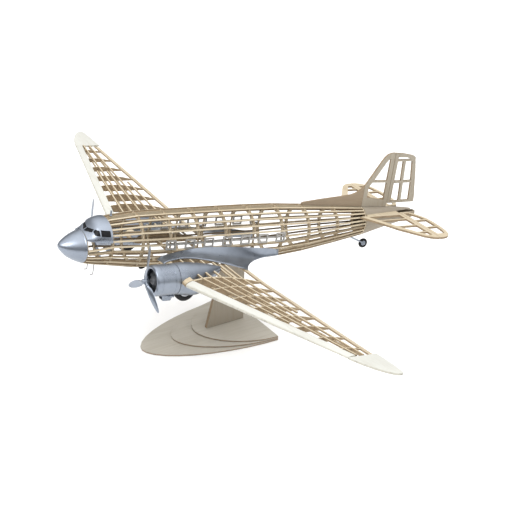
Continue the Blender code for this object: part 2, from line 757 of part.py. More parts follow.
def fillet_mesh(sign, columns=4):
    """Return the curved shell between the body's side and the wing's upper surface."""
    inner, outer = fillet_rails()
    rings = []
    for start, end in zip(inner, outer):
        corner = Vector((start.x + 0.18 * (end.x - start.x), (start.y + end.y) / 2, end.z + 0.18 * (start.z - end.z)))
        ring = []
        for i in range(columns + 1):
            t = i / columns
            point = (1 - t) ** 2 * start + 2 * t * (1 - t) * corner + t ** 2 * end
            ring.append(Vector((sign * point.x, point.y, point.z)))
        rings.append(ring + [point + Vector((0, 0, PLASTIC)) for point in reversed(ring)])
    return ring_mesh("fillet", rings)


def build_fillet(airframe, side, sign):
    """Plastic fillet between the body and the wing."""
    add(f"wing_fillet_{side}", fillet_mesh(sign), silver(), airframe, smooth=50)


# ================================================================ engines
def build_cowl(airframe, side, sign):
    """Round engine cowl with a rolled lip, and the oil cooler scoop moulded under it."""
    wall = PLASTIC
    lip = 5.5 * MM
    inner = COWL_RADIUS - wall
    profile = [(2.6, lip + 0.2 * MM), (0.8, lip - 0.6 * MM), (0, lip - 2.4 * MM), (0.6, lip - 4.1 * MM), (2.6, 0.7 * MM)]
    rings = [(COWL_FRONT + along * MM, COWL_RADIUS - inset) for along, inset in profile]
    rings += [(COWL_FRONT + 7 * MM, COWL_RADIUS), (COWL_END, COWL_RADIUS)]
    rings += [(COWL_END, inner), (COWL_FRONT + 7.5 * MM, inner), (COWL_FRONT + 3.6 * MM, inner - 1.8 * MM)]
    centre = (sign * ENGINE_X, 0, ENGINE_Z)
    shell = turned_mesh(rings, centre, (0, 1, 0), 24, wrap=True)
    floor = ENGINE_Z - COWL_RADIUS
    scoop = []
    for front, rear, half, height in ((117, 131.5, 7, floor + wall / 2), (121.5, 128.5, 5.5, floor - 7 * MM)):
        corners = ((-half, front), (half, front), (half, rear), (-half, rear))
        scoop.append([Vector((sign * ENGINE_X + x * MM, y * MM, height)) for x, y in corners])
    fuse(f"engine_cowl_{side}", [shell, ring_mesh("scoop", scoop)], silver(), airframe, smooth=40)


def build_nacelle(airframe, side, sign):
    """Hollow nacelle behind the cowl, with a well for the half retracted wheel."""
    stations = nacelle_stations()
    outer = [nacelle_loop(station, 0, sign) for station in stations]
    inner = [nacelle_loop(station, PLASTIC, sign) for station in reversed(stations[:-1])]
    last = outer[-1][0]
    tip_out = [Vector((sign * ENGINE_X, NACELLE[-1][0] * MM, last.z - 3 * MM))]
    tip_in = [Vector((sign * ENGINE_X, stations[-1] - 4 * MM, last.z - 6 * MM))]
    shell = ring_mesh("nacelle", [tip_in] + inner + outer + [tip_out])
    reach = TYRE_RADIUS + 1.0 * MM
    half = TYRE_WIDTH / 2 + 4.6 * MM
    low = (sign * ENGINE_X - half, WHEEL_STATION - reach, -60 * MM)
    high = (sign * ENGINE_X + half, WHEEL_STATION + reach, WHEEL_Z + 3 * MM)
    fuse(f"nacelle_{side}", [shell], silver(), airframe, [box_mesh(low, high)], smooth=40)


def build_engine(airframe, side, sign):
    """Dummy radial engine: back plate, crankcase, cylinders and the fixed shaft."""
    centre = Vector((sign * ENGINE_X, 0, ENGINE_Z))
    back = COWL_FRONT + 16 * MM
    inner = COWL_RADIUS - PLASTIC - CLEAR
    plate = turned_mesh([(back, inner), (back + 1.5 * MM, inner)], centre, (0, 1, 0), 20)
    case = [(COWL_FRONT + 1.2 * MM, 3 * MM), (COWL_FRONT + 3 * MM, 5.5 * MM), (COWL_FRONT + 8 * MM, 6.5 * MM),
            (back + 0.7 * MM, 6.5 * MM)]
    meshes = [plate, turned_mesh(case, centre, (0, 1, 0), 12)]
    shaft = [(PROP_STATION - 1.5 * MM, SHAFT_RADIUS), (COWL_FRONT + 5 * MM, SHAFT_RADIUS)]
    meshes.append(turned_mesh(shaft, centre, (0, 1, 0), 12))
    for i in range(CYLINDERS):
        turn = 2 * math.pi * i / CYLINDERS
        along = Vector((math.sin(turn), 0, math.cos(turn)))
        root = centre + Vector((0, COWL_FRONT + 10.4 * MM, 0))
        profile = [(4 * MM, 2.8 * MM), (16.2 * MM, 2.6 * MM)]
        meshes.append(turned_mesh(profile, root, along, 6))
    fuse(f"dummy_engine_{side}", meshes, grey_plastic(), airframe, smooth=40)


BLADE = [(2.5, 4.4, 4.4, 40), (9, 5, 3.6, 34), (16, 9, 2.2, 22), (30, 10.4, 1.7, 12), (44, 7.4, 1.2, 8),
         (49.5, 3.8, 0.9, 7)]
BLADE_SIDES = 6


def blade_mesh(turn):
    """Return one twisted blade that points away from the hub at an angle."""
    radial = Vector((math.sin(turn), 0, math.cos(turn)))
    across = Vector((math.cos(turn), 0, -math.sin(turn)))
    scale = PROP_RADIUS / (BLADE[-1][0] + 1.5) / MM
    rings = []
    for radius, chord, thickness, pitch in BLADE:
        tilt = math.radians(pitch)
        wide = across * math.cos(tilt) - Vector((0, math.sin(tilt), 0))
        thin = Vector((0, math.cos(tilt), 0)) + across * math.sin(tilt)
        ring = []
        for i in range(BLADE_SIDES):
            a = 2 * math.pi * i / BLADE_SIDES
            offset = wide * (chord / 2 * math.cos(a)) + thin * (thickness / 2 * math.sin(a))
            ring.append((radial * radius * scale + offset) * MM)
        rings.append(ring)
    rings.append([radial * PROP_RADIUS])
    return ring_mesh("blade", rings)


def build_propeller(airframe, side, sign):
    """Three-bladed propeller that turns on the engine's shaft."""
    hub = [(-6.5, 0), (-6.2, 2.2), (-4.4, 3.6), (3.6, 4.2), (4.6, 3.4)]
    meshes = [turned_mesh([(along * MM, radius * MM) for along, radius in hub], (0, 0, 0), (0, 1, 0), 12)]
    meshes += [blade_mesh(2 * math.pi * i / BLADES) for i in range(BLADES)]
    hole = SHAFT_RADIUS + RUNNING
    bore = turned_mesh([(-2.2 * MM, hole), (6 * MM, hole)], (0, 0, 0), (0, 1, 0), 12)
    place = (sign * ENGINE_X, PROP_STATION, ENGINE_Z)
    fuse(f"propeller_{side}", meshes, silver(), airframe, [bore], smooth=45, location=place)


# ================================================================ wheels
def build_main_wheel(airframe, side, sign):
    """Tyre, hub and the fork that carries them in the nacelle."""
    half = TYRE_WIDTH / 2
    place = Vector((sign * ENGINE_X, WHEEL_STATION, WHEEL_Z))
    bead = RIM_RADIUS + CLEAR
    tyre = [(-half + 1.4 * MM, bead), (-half, TYRE_RADIUS * 0.74), (-half * 0.66, TYRE_RADIUS * 0.93),
            (0, TYRE_RADIUS), (half * 0.66, TYRE_RADIUS * 0.93), (half, TYRE_RADIUS * 0.74),
            (half - 1.4 * MM, bead)]
    mesh = turned_mesh(tyre, (0, 0, 0), (1, 0, 0), 24, wrap=True)
    add(f"main_tyre_{side}", mesh, rubber(), airframe, smooth=50, location=place)
    bore = AXLE_RADIUS + RUNNING
    rim = half - 1.6 * MM
    hub = [(-rim, bore), (-rim - 0.6 * MM, 3.4 * MM), (-rim + 0.9 * MM, RIM_RADIUS * 0.7), (-rim, RIM_RADIUS),
           (rim, RIM_RADIUS), (rim - 0.9 * MM, RIM_RADIUS * 0.7), (rim + 0.6 * MM, 3.4 * MM), (rim, bore)]
    mesh = turned_mesh(hub, (0, 0, 0), (1, 0, 0), 14, wrap=True)
    add(f"main_wheel_hub_{side}", mesh, silver(), airframe, smooth=40, location=place)
    leg_x = half + 1.9 * MM
    crown = WHEEL_Z + TYRE_RADIUS + 2.4 * MM
    meshes = [turned_mesh([(-leg_x, AXLE_RADIUS), (leg_x, AXLE_RADIUS)], place, (1, 0, 0), 10)]
    for x in (-leg_x, leg_x):
        foot = place + Vector((x, 0, -1.6 * MM))
        meshes.append(rod_mesh([foot, (foot.x, foot.y, crown)], 1.5 * MM))
    bar_ends = [(place.x + x, WHEEL_STATION, crown - 0.8 * MM) for x in (-leg_x - 1 * MM, leg_x + 1 * MM)]
    meshes.append(rod_mesh(bar_ends, 1.4 * MM))
    fuse(f"main_gear_fork_{side}", meshes, wire(), airframe, smooth=40)


def build_tail_wheel(airframe):
    """Tail wheel on a single bent leg."""
    half = 2.6 * MM
    bore = TAIL_AXLE_RADIUS + RUNNING
    radius = TAIL_TYRE_RADIUS
    wheel = [(-half, bore), (-half * 0.7, radius * 0.55), (-half, radius * 0.75), (0, radius),
             (half, radius * 0.75), (half * 0.7, radius * 0.55), (half, bore)]
    mesh = turned_mesh(wheel, (0, 0, 0), (1, 0, 0), 18, wrap=True)
    add("tail_wheel", mesh, rubber(), airframe, smooth=40, location=TAIL_WHEEL)
    leg_x = half + 1.6 * MM
    station = 489 * MM
    root = body_point(station, 170, 2.5 * MM)
    path = [(root.x, root.y, root.z), (root.x, root.y + 1 * MM, root.z - 3.4 * MM),
            (leg_x, 510 * MM, TAIL_WHEEL.z + 4.4 * MM), (leg_x, TAIL_WHEEL.y + 0.8 * MM, TAIL_WHEEL.z - 0.4 * MM)]
    axle = turned_mesh([(-half - 0.8 * MM, TAIL_AXLE_RADIUS), (leg_x, TAIL_AXLE_RADIUS)], TAIL_WHEEL, (1, 0, 0), 10)
    fuse("tail_wheel_leg", [rod_mesh(path, 1.3 * MM), axle], silver(), airframe, smooth=50)


# ================================================================ tail
def tail_shell(name, airframe, cut_low, cut_high):
    """A hollow sheeted part of the tail, open in front, between two heights."""
    start = TAIL_FORMER + SHEET + CLEAR
    stations = [start] + [station * MM for station in (530, 560, 590, 607)]
    outer = [body_loop(station, 0) for station in stations]
    inner = [body_loop(station, 1.4 * MM) for station in reversed(stations[:-1])]
    rear = outer[-1]
    middle = sum(rear, Vector()) / len(rear)
    inner_end = sum(inner[0], Vector()) / len(inner[0])
    rings = [[inner_end + Vector((0, 6 * MM, 0))]] + inner + outer + [[middle + Vector((0, 1.5 * MM, 0))]]
    cuts = [box_mesh((-60 * MM, 480 * MM, low), (60 * MM, 640 * MM, high)) for low, high in (cut_low, cut_high)]
    fuse(name, [ring_mesh(name, rings)], balsa(), airframe, cuts, smooth=30)


def fin_plate(name, airframe, outlines, finish, location=(0, 0, 0)):
    """A flat upright sheet on the middle plane."""
    half = TAIL_SHEET / 2
    origin = Vector(location)
    mesh = plate_mesh(name, [[(u * MM, v * MM) for u, v in outline] for outline in outlines], TAIL_SHEET,
                      lambda u, v, w: Vector((w - half, u, v)) - origin)
    return mesh, add(name, mesh, finish, airframe, location=location) if finish else None


def build_fin(airframe):
    """Dorsal sheet and fin frame on top of the body."""
    lift = CLEAR / MM
    foot = [(s, body_point(s * MM, 0).z / MM + lift) for s in (500, 444, 388)]
    dorsal = [(388, 39.4), (392, 40.4), (426, 43.4), (463, 46), (478, 47.6), (487, 50.4), (495, 55.4), (500, 59.8)]
    fin_plate("dorsal_sheet", airframe, [dorsal + foot], balsa())
    rear = (RUDDER_HINGE - HINGE_GAP) / MM
    root = [(s, body_point(s * MM, 0).z / MM + lift) for s in (rear, 524, 500.3)]
    outline = [(500.3, 60.2), (508.3, 72.4), (515.5, 84), (525.8, 100), (530.1, 105.6), (535, 109.8), (541, 111.7),
               (rear, 112.2)] + root
    upper = [(516, 68.6), (541, 67.4), (541, 102.8), (537.6, 101.4), (534.6, 98)]
    lower = [(508, 41.4), (541, 35.8), (541, 64.2), (513.2, 65.2), (508, 57.6)]
    fin_plate("fin_frame", airframe, [outline, upper, lower], balsa())


def build_rudder(airframe):
    """Rudder frame, hinged on its own rounded front edge."""
    axis = RUDDER_HINGE / MM + TAIL_SHEET / 2 / MM
    foot, head = 30.0, 111.8
    lead = axis - NOSE_LAP / MM
    outline = [(lead, foot), (lead, head), (564.3, 110.6), (583.8, 107), (588.8, 104.4), (593.7, 82),
               (599, 50), (601, 40), (601.4, foot)]
    spar = axis + 5.6
    openings = [
        [(spar, 33.6), (570.6, 33.6), (568.4, 62.4), (spar, 62.4)],
        [(575.6, 33.6), (590.6, 33.6), (588.6, 62.4), (573.4, 62.4)],
        [(spar, 66.2), (568.2, 66.2), (566.2, 97.6), (spar, 97.6)],
        [(573.2, 66.2), (588.2, 66.2), (583.8, 97.6), (571.2, 97.6)],
        [(spar, 100.8), (580, 100.8), (573, 103.8), (spar, 104.6)],
    ]
    location = (0, axis * MM, 0)
    sheet, _ = fin_plate("rudder_sheet", airframe, [outline] + openings, None, location)
    ends = (foot * MM + NOSE_LAP, head * MM - NOSE_LAP)
    nose = turned_mesh([(end, NOSE_RADIUS) for end in ends], (0, 0, 0), (0, 0, 1), 12)
    fuse("rudder_frame", [nose, sheet], balsa(), airframe, location=location)


STAB_LEAD = [(14, 483), (52, 506.5), (75, 519), (88, 529), (107, 543.5), (113, 551)]
ELEVATOR_TRAIL = [(113.5, 584), (107, 590.5), (95, 594.8), (78, 597.4), (60, 598.4), (42, 597.4), (28, 591.5)]


def tip_arc(start, end, bulge, count=4):
    """Return points of a rounded corner from one point to another, bulging outwards."""
    points = []
    for i in range(1, count):
        t = i / count
        x = (1 - t) * start[0] + t * end[0] + 4 * t * (1 - t) * bulge
        y = (1 - t) * start[1] + t * end[1]
        points.append((x, y))
    return points


def flat_plate(outlines, thickness, height, origin=(0, 0, 0)):
    """Return a level sheet from outlines in millimetres."""
    scaled = [[(u * MM, v * MM) for u, v in outline] for outline in outlines]
    return plate_mesh("sheet", scaled, thickness, lambda u, v, w: Vector((u, v, height + w - thickness / 2)) - Vector(origin))


def build_stabilizer(airframe):
    """Stabilizer frame in one piece across the tail."""
    rear = (HINGE_STATION - TAIL_SHEET / 2 - HINGE_GAP) / MM
    tip = (STAB_TIP / MM, rear)
    seat = (TAIL_FORMER + SHEET + CLEAR) / MM
    root = body_side(STAB_ROOT, STAB_Z - TAIL_SHEET / 2) / MM + 1.2
    edge = [(root, seat), (root, stab_lead(root))] + STAB_LEAD[1:]
    edge += tip_arc(STAB_LEAD[-1], tip, 1.2) + [tip]
    outline = edge + [(-x, y) for x, y in reversed(edge)]
    openings = []
    bays = ((24, 38.5), (41.5, 64.5), (67.5, 90.5), (93.5, 105.5))
    for low, high in bays:
        front = [(x, min(stab_lead(x) + 11, rear - 9)) for x in (low, high)]
        for sign in (1, -1):
            openings.append([(sign * x, y) for x, y in front + [(high, rear - 5), (low, rear - 5)]])
    add("stabilizer_frame", flat_plate([outline] + openings, TAIL_SHEET, STAB_Z), balsa(), airframe)


def stab_lead(x):
    """Return the stabilizer's leading edge at a distance from the middle, in millimetres."""
    for (x0, y0), (x1, y1) in zip(STAB_LEAD, STAB_LEAD[1:]):
        if x0 <= x <= x1:
            return y0 + (y1 - y0) * (x - x0) / (x1 - x0)
    return STAB_LEAD[-1][1]


def build_elevator(airframe, side, sign):
    """Elevator frame, hinged on its own rounded front edge."""
    axis = HINGE_STATION / MM
    root, tip = 14.5, STAB_TIP / MM
    lead = axis - NOSE_LAP / MM
    outer = (tip, lead)
    corner = ELEVATOR_TRAIL[0]
    outline = [(root, lead), outer] + tip_arc(outer, corner, 1.6) + ELEVATOR_TRAIL + [(root, axis + 16)]
    spar = axis + 5
    openings = [
        [(root + 5, spar), (47, spar), (47, 592), (34, 588.5), (root + 5, axis + 13)],
        [(50, spar), (75, spar), (75, 591.6), (50, 592.2)],
        [(78, spar), (103, spar), (103, 585.5), (93, 589.3), (78, 591.3)],
    ]
    location = Vector((sign * root * MM, axis * MM, STAB_Z))
    mirrored = [[(sign * x, y) for x, y in loop] for loop in [outline] + openings]
    sheet = flat_plate(mirrored, TAIL_SHEET, STAB_Z, location)
    ends = (sign * NOSE_LAP, sign * ((tip - root) * MM - NOSE_LAP))
    nose = turned_mesh([(end, NOSE_RADIUS) for end in ends], (0, 0, 0), (1, 0, 0), 12)
    fuse(f"elevator_{side}", [nose, sheet], balsa(), airframe, location=location)


def build_tail(airframe):
    """Sheeted tail under and over the stabilizer, fin, rudder, stabilizer and elevators."""
    slot = TAIL_SHEET / 2 + CLEAR
    above, below = STAB_Z + slot, STAB_Z - slot
    far = 200 * MM
    tail_shell("tail_cone", airframe, (below, far), (-far, -far + 1 * MM))
    tail_shell("tail_top_fairing", airframe, (-far, above), (far - 1 * MM, far))
    build_fin(airframe)
    build_rudder(airframe)
    build_stabilizer(airframe)
    for side, sign in (("left", 1), ("right", -1)):
        build_elevator(airframe, side, sign)


# ================================================================ stand
def base_outline(length):
    """Return a rounded arch with a straight back edge."""
    steps = 20
    points = []
    for i in range(steps + 1):
        turn = math.pi * i / steps
        across, along = math.cos(turn), math.sin(turn)
        width = math.copysign(abs(across) ** (2 / BASE_CURVE), across)
        points.append((BASE_HALF_WIDTH * width, BASE_BACK - length * along ** (2 / BASE_CURVE)))
    return points


def to_world(point):
    """Return the world place of a point that is given in the airframe's frame."""
    turned = Matrix.Rotation(-PITCH, 3, "X") @ Vector(point)
    return turned + Vector((0, -NOSE_FORWARD, NOSE_HEIGHT))


def build_stand():
    """Three base layers and the pylon that carries the body."""
    for number, (name, length) in enumerate(BASE_LENGTHS):
        floor = number * (BASE_LAYER + CLEAR)
        mesh = plate_mesh("layer", [base_outline(length)], BASE_LAYER,
                          lambda u, v, w: (u, v - NOSE_FORWARD, floor + w))
        add(f"stand_base_{name}", mesh, plywood())
    foot = len(BASE_LENGTHS) * (BASE_LAYER + CLEAR)
    head = []
    for place in PYLON_HEAD:
        station = place / math.cos(PITCH) - 6.5 * MM
        belly = to_world(body_point(station, 180))
        head.append((belly.y, belly.z - 1.5 * CLEAR))
    front, back = (place - NOSE_FORWARD for place in PYLON_FOOT)
    outline = [(front, foot), (back, foot), head[1], head[0]]
    mesh = plate_mesh("pylon", [outline], PYLON_THICKNESS, lambda u, v, w: (w - PYLON_THICKNESS / 2, u, v))
    add("stand_pylon", mesh, plywood())


def clear_scene():
    for piece in list(bpy.data.objects):
        bpy.data.objects.remove(piece)


def build_airframe():
    """Everything that lifts off the stand, under one empty that sets its pose."""
    airframe = bpy.data.objects.new("airframe", None)
    bpy.context.scene.collection.objects.link(airframe)
    build_cage(airframe)
    build_formers(airframe)
    build_keels(airframe)
    build_windows(airframe)
    build_nose(airframe)
    build_canopy(airframe)
    build_masts(airframe)
    build_aerial_pod(airframe)
    build_centre_section(airframe)
    for side, sign in (("left", 1), ("right", -1)):
        build_wing(airframe, side, sign)
        build_fillet(airframe, side, sign)
        build_cowl(airframe, side, sign)
        build_nacelle(airframe, side, sign)
        build_engine(airframe, side, sign)
        build_propeller(airframe, side, sign)
        build_main_wheel(airframe, side, sign)
    build_tail(airframe)
    build_tail_wheel(airframe)
    airframe.rotation_euler.x = -PITCH
    airframe.location = (0, -NOSE_FORWARD, NOSE_HEIGHT)


def main():
    clear_scene()
    build_stand()
    build_airframe()


main()
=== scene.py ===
"""Looks of a rubber band plane on its display stand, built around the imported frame."""

import json
import logging
import math
from dataclasses import dataclass
from enum import Enum
from typing import Callable, Sequence

import bmesh
import bpy
from mathutils import Euler, Matrix, Vector

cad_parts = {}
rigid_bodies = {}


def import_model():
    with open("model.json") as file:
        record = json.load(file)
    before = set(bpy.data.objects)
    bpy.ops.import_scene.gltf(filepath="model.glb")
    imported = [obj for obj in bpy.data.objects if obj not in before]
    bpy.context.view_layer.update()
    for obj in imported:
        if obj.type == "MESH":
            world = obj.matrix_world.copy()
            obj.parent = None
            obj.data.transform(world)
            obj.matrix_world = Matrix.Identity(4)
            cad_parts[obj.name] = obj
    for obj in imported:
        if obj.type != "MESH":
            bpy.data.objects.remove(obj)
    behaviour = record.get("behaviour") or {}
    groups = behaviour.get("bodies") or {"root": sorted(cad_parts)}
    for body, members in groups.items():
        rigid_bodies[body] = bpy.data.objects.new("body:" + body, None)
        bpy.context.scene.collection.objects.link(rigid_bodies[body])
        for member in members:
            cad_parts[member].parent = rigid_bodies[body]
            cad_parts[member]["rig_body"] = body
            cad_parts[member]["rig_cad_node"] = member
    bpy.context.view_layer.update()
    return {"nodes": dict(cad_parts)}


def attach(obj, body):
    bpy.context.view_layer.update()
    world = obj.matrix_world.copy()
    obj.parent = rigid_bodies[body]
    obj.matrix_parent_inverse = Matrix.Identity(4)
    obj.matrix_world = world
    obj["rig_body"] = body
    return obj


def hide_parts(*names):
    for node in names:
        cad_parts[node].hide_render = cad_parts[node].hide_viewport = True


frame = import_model()

LOG = logging.getLogger("plane")
MM = 0.001
WELD = 0.01 * MM        # points closer than this are one point
FINE_WELD = 0.001 * MM  # the same, for copies of CAD nodes
SAME_PLACE = 1e-6       # metres between two places that count as one
SIDES = (("left", 1), ("right", -1))
Piece = bpy.types.Object
Socket = bpy.types.NodeSocket
Colour = tuple[float, float, float]
Rows = Sequence[tuple[float, ...]]

# The airframe is drawn level, nose tip at the origin, and then set on the stand.
PITCH = math.radians(9.87)
NOSE_TIP = Vector((0, -300.6, 199.4)) * MM
LEVEL_TO_STAND = Matrix.Rotation(-PITCH, 3, "X")


# ================================================================ workbench
class End(Enum):
    """How an end of a lofted skin is closed."""

    OPEN = "open"
    FLAT = "flat"
    POINT = "point"


@dataclass(frozen=True)
class Ring:
    """One section of a loft, in millimetres: place along it, half sizes, middle."""

    along: float
    wide: float
    high: float
    x: float = 0.0
    z: float = 0.0

    @property
    def middle(self) -> Vector:
        """Middle of the section in metres."""
        return Vector((self.x, self.along, self.z)) * MM


@dataclass(frozen=True)
class Finish:
    """A material and the record's slot that it belongs to."""

    slot: str
    material: bpy.types.Material


class Bench:
    """Modelling steps shared by all pieces."""

    @staticmethod
    def close() -> None:
        """Leave edit mode."""
        bpy.ops.object.mode_set(mode="OBJECT")

    @staticmethod
    def clear() -> None:
        """Leave edit mode and deselect everything."""
        if bpy.context.object and bpy.context.object.mode != "OBJECT":
            Bench.close()
        bpy.ops.object.select_all(action="DESELECT")

    @staticmethod
    def only(piece: Piece) -> None:
        """Select one piece and make it the active one."""
        Bench.clear()
        piece.select_set(True)
        bpy.context.view_layer.objects.active = piece

    @staticmethod
    def edit(piece: Piece) -> None:
        """Open a piece for editing with all of it selected."""
        Bench.only(piece)
        bpy.ops.object.mode_set(mode="EDIT")
        bpy.ops.mesh.select_mode(type="VERT")
        bpy.ops.mesh.select_all(action="SELECT")

    @staticmethod
    def place(piece: Piece, move: Sequence[float] = (0, 0, 0),
              turn: Sequence[float] = (0, 0, 0)) -> Piece:
        """Turn and move a piece, and put its place into its mesh.

        Args:
            piece: the piece.
            move: shift in metres.
            turn: turn about X, Y and Z in degrees.

        Returns:
            The same piece.
        """
        piece.rotation_euler = Euler([math.radians(a) for a in turn])
        piece.location = Vector(move)
        Bench.only(piece)
        bpy.ops.object.transform_apply(location=True, rotation=True, scale=True)
        return piece

    @staticmethod
    def settle(piece: Piece) -> Piece:
        """Bring a piece from the level airframe to its place on the stand."""
        return Bench.place(piece, NOSE_TIP, (-math.degrees(PITCH), 0, 0))

    @staticmethod
    def modify(piece: Piece, kind: str, **settings: object) -> None:
        """Add a modifier with the given settings and apply it."""
        modifier = piece.modifiers.new(kind.title(), kind)
        for key, value in settings.items():
            setattr(modifier, key, value)
        Bench.only(piece)
        bpy.ops.object.modifier_apply(modifier=modifier.name)

    @staticmethod
    def pick(piece: Piece, test: Callable[[Vector], bool]) -> None:
        """In edit mode, select the points that pass a test of their place."""
        bpy.ops.mesh.select_mode(type="VERT")
        shape = bmesh.from_edit_mesh(piece.data)
        for vert in shape.verts:
            vert.select = test(vert.co)
        shape.select_flush_mode()
        bmesh.update_edit_mesh(piece.data)

    @staticmethod
    def outward(piece: Piece) -> None:
        """Merge doubles and point all faces outwards."""
        Bench.edit(piece)
        bpy.ops.mesh.remove_doubles(threshold=WELD)
        bpy.ops.mesh.select_all(action="SELECT")
        bpy.ops.mesh.normals_make_consistent(inside=False)
        Bench.close()

    @staticmethod
    def smooth(piece: Piece, angle: float = 35) -> None:
        """Shade a piece smooth, with hard edges above an angle in degrees."""
        Bench.only(piece)
        bpy.ops.object.shade_smooth_by_angle(angle=math.radians(angle))

    @staticmethod
    def join(parts: Sequence[Piece]) -> Piece:
        """Join several pieces into the first one."""
        Bench.only(parts[0])
        for part in parts[1:]:
            part.select_set(True)
        if len(parts) > 1:
            bpy.ops.object.join()
        return parts[0]

    @staticmethod
    def twin(piece: Piece) -> Piece:
        """Return a copy of a piece with its own mesh."""
        Bench.only(piece)
        bpy.ops.object.duplicate(linked=False)
        return bpy.context.object

    @staticmethod
    def around(piece: Piece, count: int,
               move: Sequence[float] = (0, 0, 0)) -> Piece:
        """Repeat a piece evenly about the Y axis and join the copies.

        Args:
            piece: the pattern.
            count: how many there are in all.
            move: shift of the whole set in metres.

        Returns:
            The joined set.
        """
        parts = [piece]
        for number in range(1, count):
            parts.append(Bench.place(Bench.twin(piece), (0, 0, 0), (0, 360 * number / count, 0)))
        return Bench.place(Bench.join(parts), move)

    @staticmethod
    def carve(piece: Piece, tools: Sequence[Piece]) -> None:
        """Cut tools out of a piece and remove the tools."""
        for tool in tools:
            Bench.modify(piece, "BOOLEAN", operation="DIFFERENCE", solver="EXACT", object=tool)
            bpy.data.objects.remove(tool)

    @staticmethod
    def block(low: Sequence[float], high: Sequence[float], taper: float = 1.0,
              edge: float = 0.0) -> Piece:
        """Return a block between two corners in millimetres.

        Args:
            low: lowest corner.
            high: highest corner.
            taper: size of the lower end against the upper one.
            edge: width of the rounded edges in millimetres.

        Returns:
            The block.
        """
        low, high = Vector(low) * MM, Vector(high) * MM
        Bench.clear()
        bpy.ops.mesh.primitive_cube_add(size=1, location=(low + high) / 2)
        piece = bpy.context.object
        piece.scale = high - low
        Bench.only(piece)
        bpy.ops.object.transform_apply(location=True, rotation=True, scale=True)
        if taper != 1.0:
            Bench.edit(piece)
            Bench.pick(piece, lambda co: co.z < (low.z + high.z) / 2)
            bpy.ops.transform.resize(value=(taper, taper, 1), center_override=(low + high) / 2)
            Bench.close()
        if edge:
            Bench.modify(piece, "BEVEL", width=edge * MM, segments=3, limit_method="ANGLE")
        return piece

    @staticmethod
    def loft(rings: Sequence[Ring], sides: int = 48, start: End = End.OPEN, end: End = End.OPEN,
             wrap: bool = False) -> Piece:
        """Extrude a ring along the Y axis from section to section.

        Args:
            rings: the sections in order.
            sides: points round each section.
            start: how the first end is closed.
            end: how the last end is closed.
            wrap: join the last section to the first, for a closed wall.

        Returns:
            The lofted piece.
        """
        first = rings[0]
        Bench.clear()
        bpy.ops.mesh.primitive_circle_add(vertices=sides, radius=1, fill_type="NOTHING")
        piece = bpy.context.object
        piece.scale = (first.wide * MM, first.high * MM, 1)
        Bench.place(piece, first.middle, (90, 0, 0))
        Bench.edit(piece)
        if start is End.FLAT:
            bpy.ops.mesh.edge_face_add()
            bpy.ops.mesh.select_all(action="SELECT")
        for before, ring in zip(rings, rings[1:]):
            step = ring.middle - before.middle
            bpy.ops.mesh.extrude_region_move(TRANSFORM_OT_translate={"value": step})
            size = (ring.wide / before.wide, 1, ring.high / before.high)
            bpy.ops.transform.resize(value=size, center_override=ring.middle)
        if end is End.POINT:
            bpy.ops.mesh.merge(type="CENTER")
        elif end is End.FLAT and start is not End.FLAT:
            bpy.ops.mesh.edge_face_add()
        if start is End.POINT:
            line = first.along * MM
            Bench.pick(piece, lambda co: abs(co.y - line) < SAME_PLACE)
            bpy.ops.mesh.merge(type="CENTER")
        if wrap:
            bpy.ops.mesh.select_mode(type="EDGE")
            bpy.ops.mesh.select_all(action="DESELECT")
            bpy.ops.mesh.select_non_manifold(extend=False, use_wire=False, use_boundary=True)
            bpy.ops.mesh.bridge_edge_loops()
        Bench.close()
        Bench.outward(piece)
        return piece

    @staticmethod
    def turned(rows: Rows, sides: int = 48, start: End = End.OPEN, end: End = End.OPEN,
               wrap: bool = False) -> Piece:
        """Return a round piece about the Y axis; rows are (along, radius) in millimetres."""
        rings = [Ring(along, radius, radius) for along, radius in rows]
        return Bench.loft(rings, sides, start, end, wrap)

    @staticmethod
    def copy_node(node: str, flatten: bool = True) -> Piece:
        """Return a merged copy of a CAD node's mesh as a new piece.

        Args:
            node: the CAD node.
            flatten: dissolve the edges inside flat faces.

        Returns:
            The copy, on no body yet.
        """
        Bench.only(frame["nodes"][node])
        bpy.ops.object.duplicate(linked=False)
        piece = bpy.context.object
        piece.parent = None
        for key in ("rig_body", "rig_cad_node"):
            if key in piece:
                del piece[key]
        Bench.edit(piece)
        bpy.ops.mesh.remove_doubles(threshold=FINE_WELD)
        if flatten:
            bpy.ops.mesh.select_all(action="SELECT")
            bpy.ops.mesh.dissolve_limited(angle_limit=math.radians(1))
        Bench.close()
        return piece

    @staticmethod
    def hand_in(piece: Piece, name: str, finish: Finish, nodes: Sequence[str] = (),
                angle: float = 0.0, body: str = "airframe") -> None:
        """Name a finished piece, dress it and hang it on its body.

        Args:
            piece: the finished piece, at the origin.
            name: its name.
            finish: its finish.
            nodes: CAD nodes that it stands for.
            angle: if given, the piece is still level; it is set on the stand and
                shaded smooth, with hard edges above this angle in degrees.
            body: the CAD body that it moves with.
        """
        if angle:
            Bench.smooth(Bench.settle(piece), angle)
        piece.name = name
        piece.data.name = name
        piece.data.materials.clear()
        piece.data.materials.append(finish.material)
        for face in piece.data.polygons:
            face.material_index = 0
        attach(piece, body)
        if nodes:
            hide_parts(*nodes)
        LOG.info("%s rides on %s, %d faces", name, body, len(piece.data.polygons))


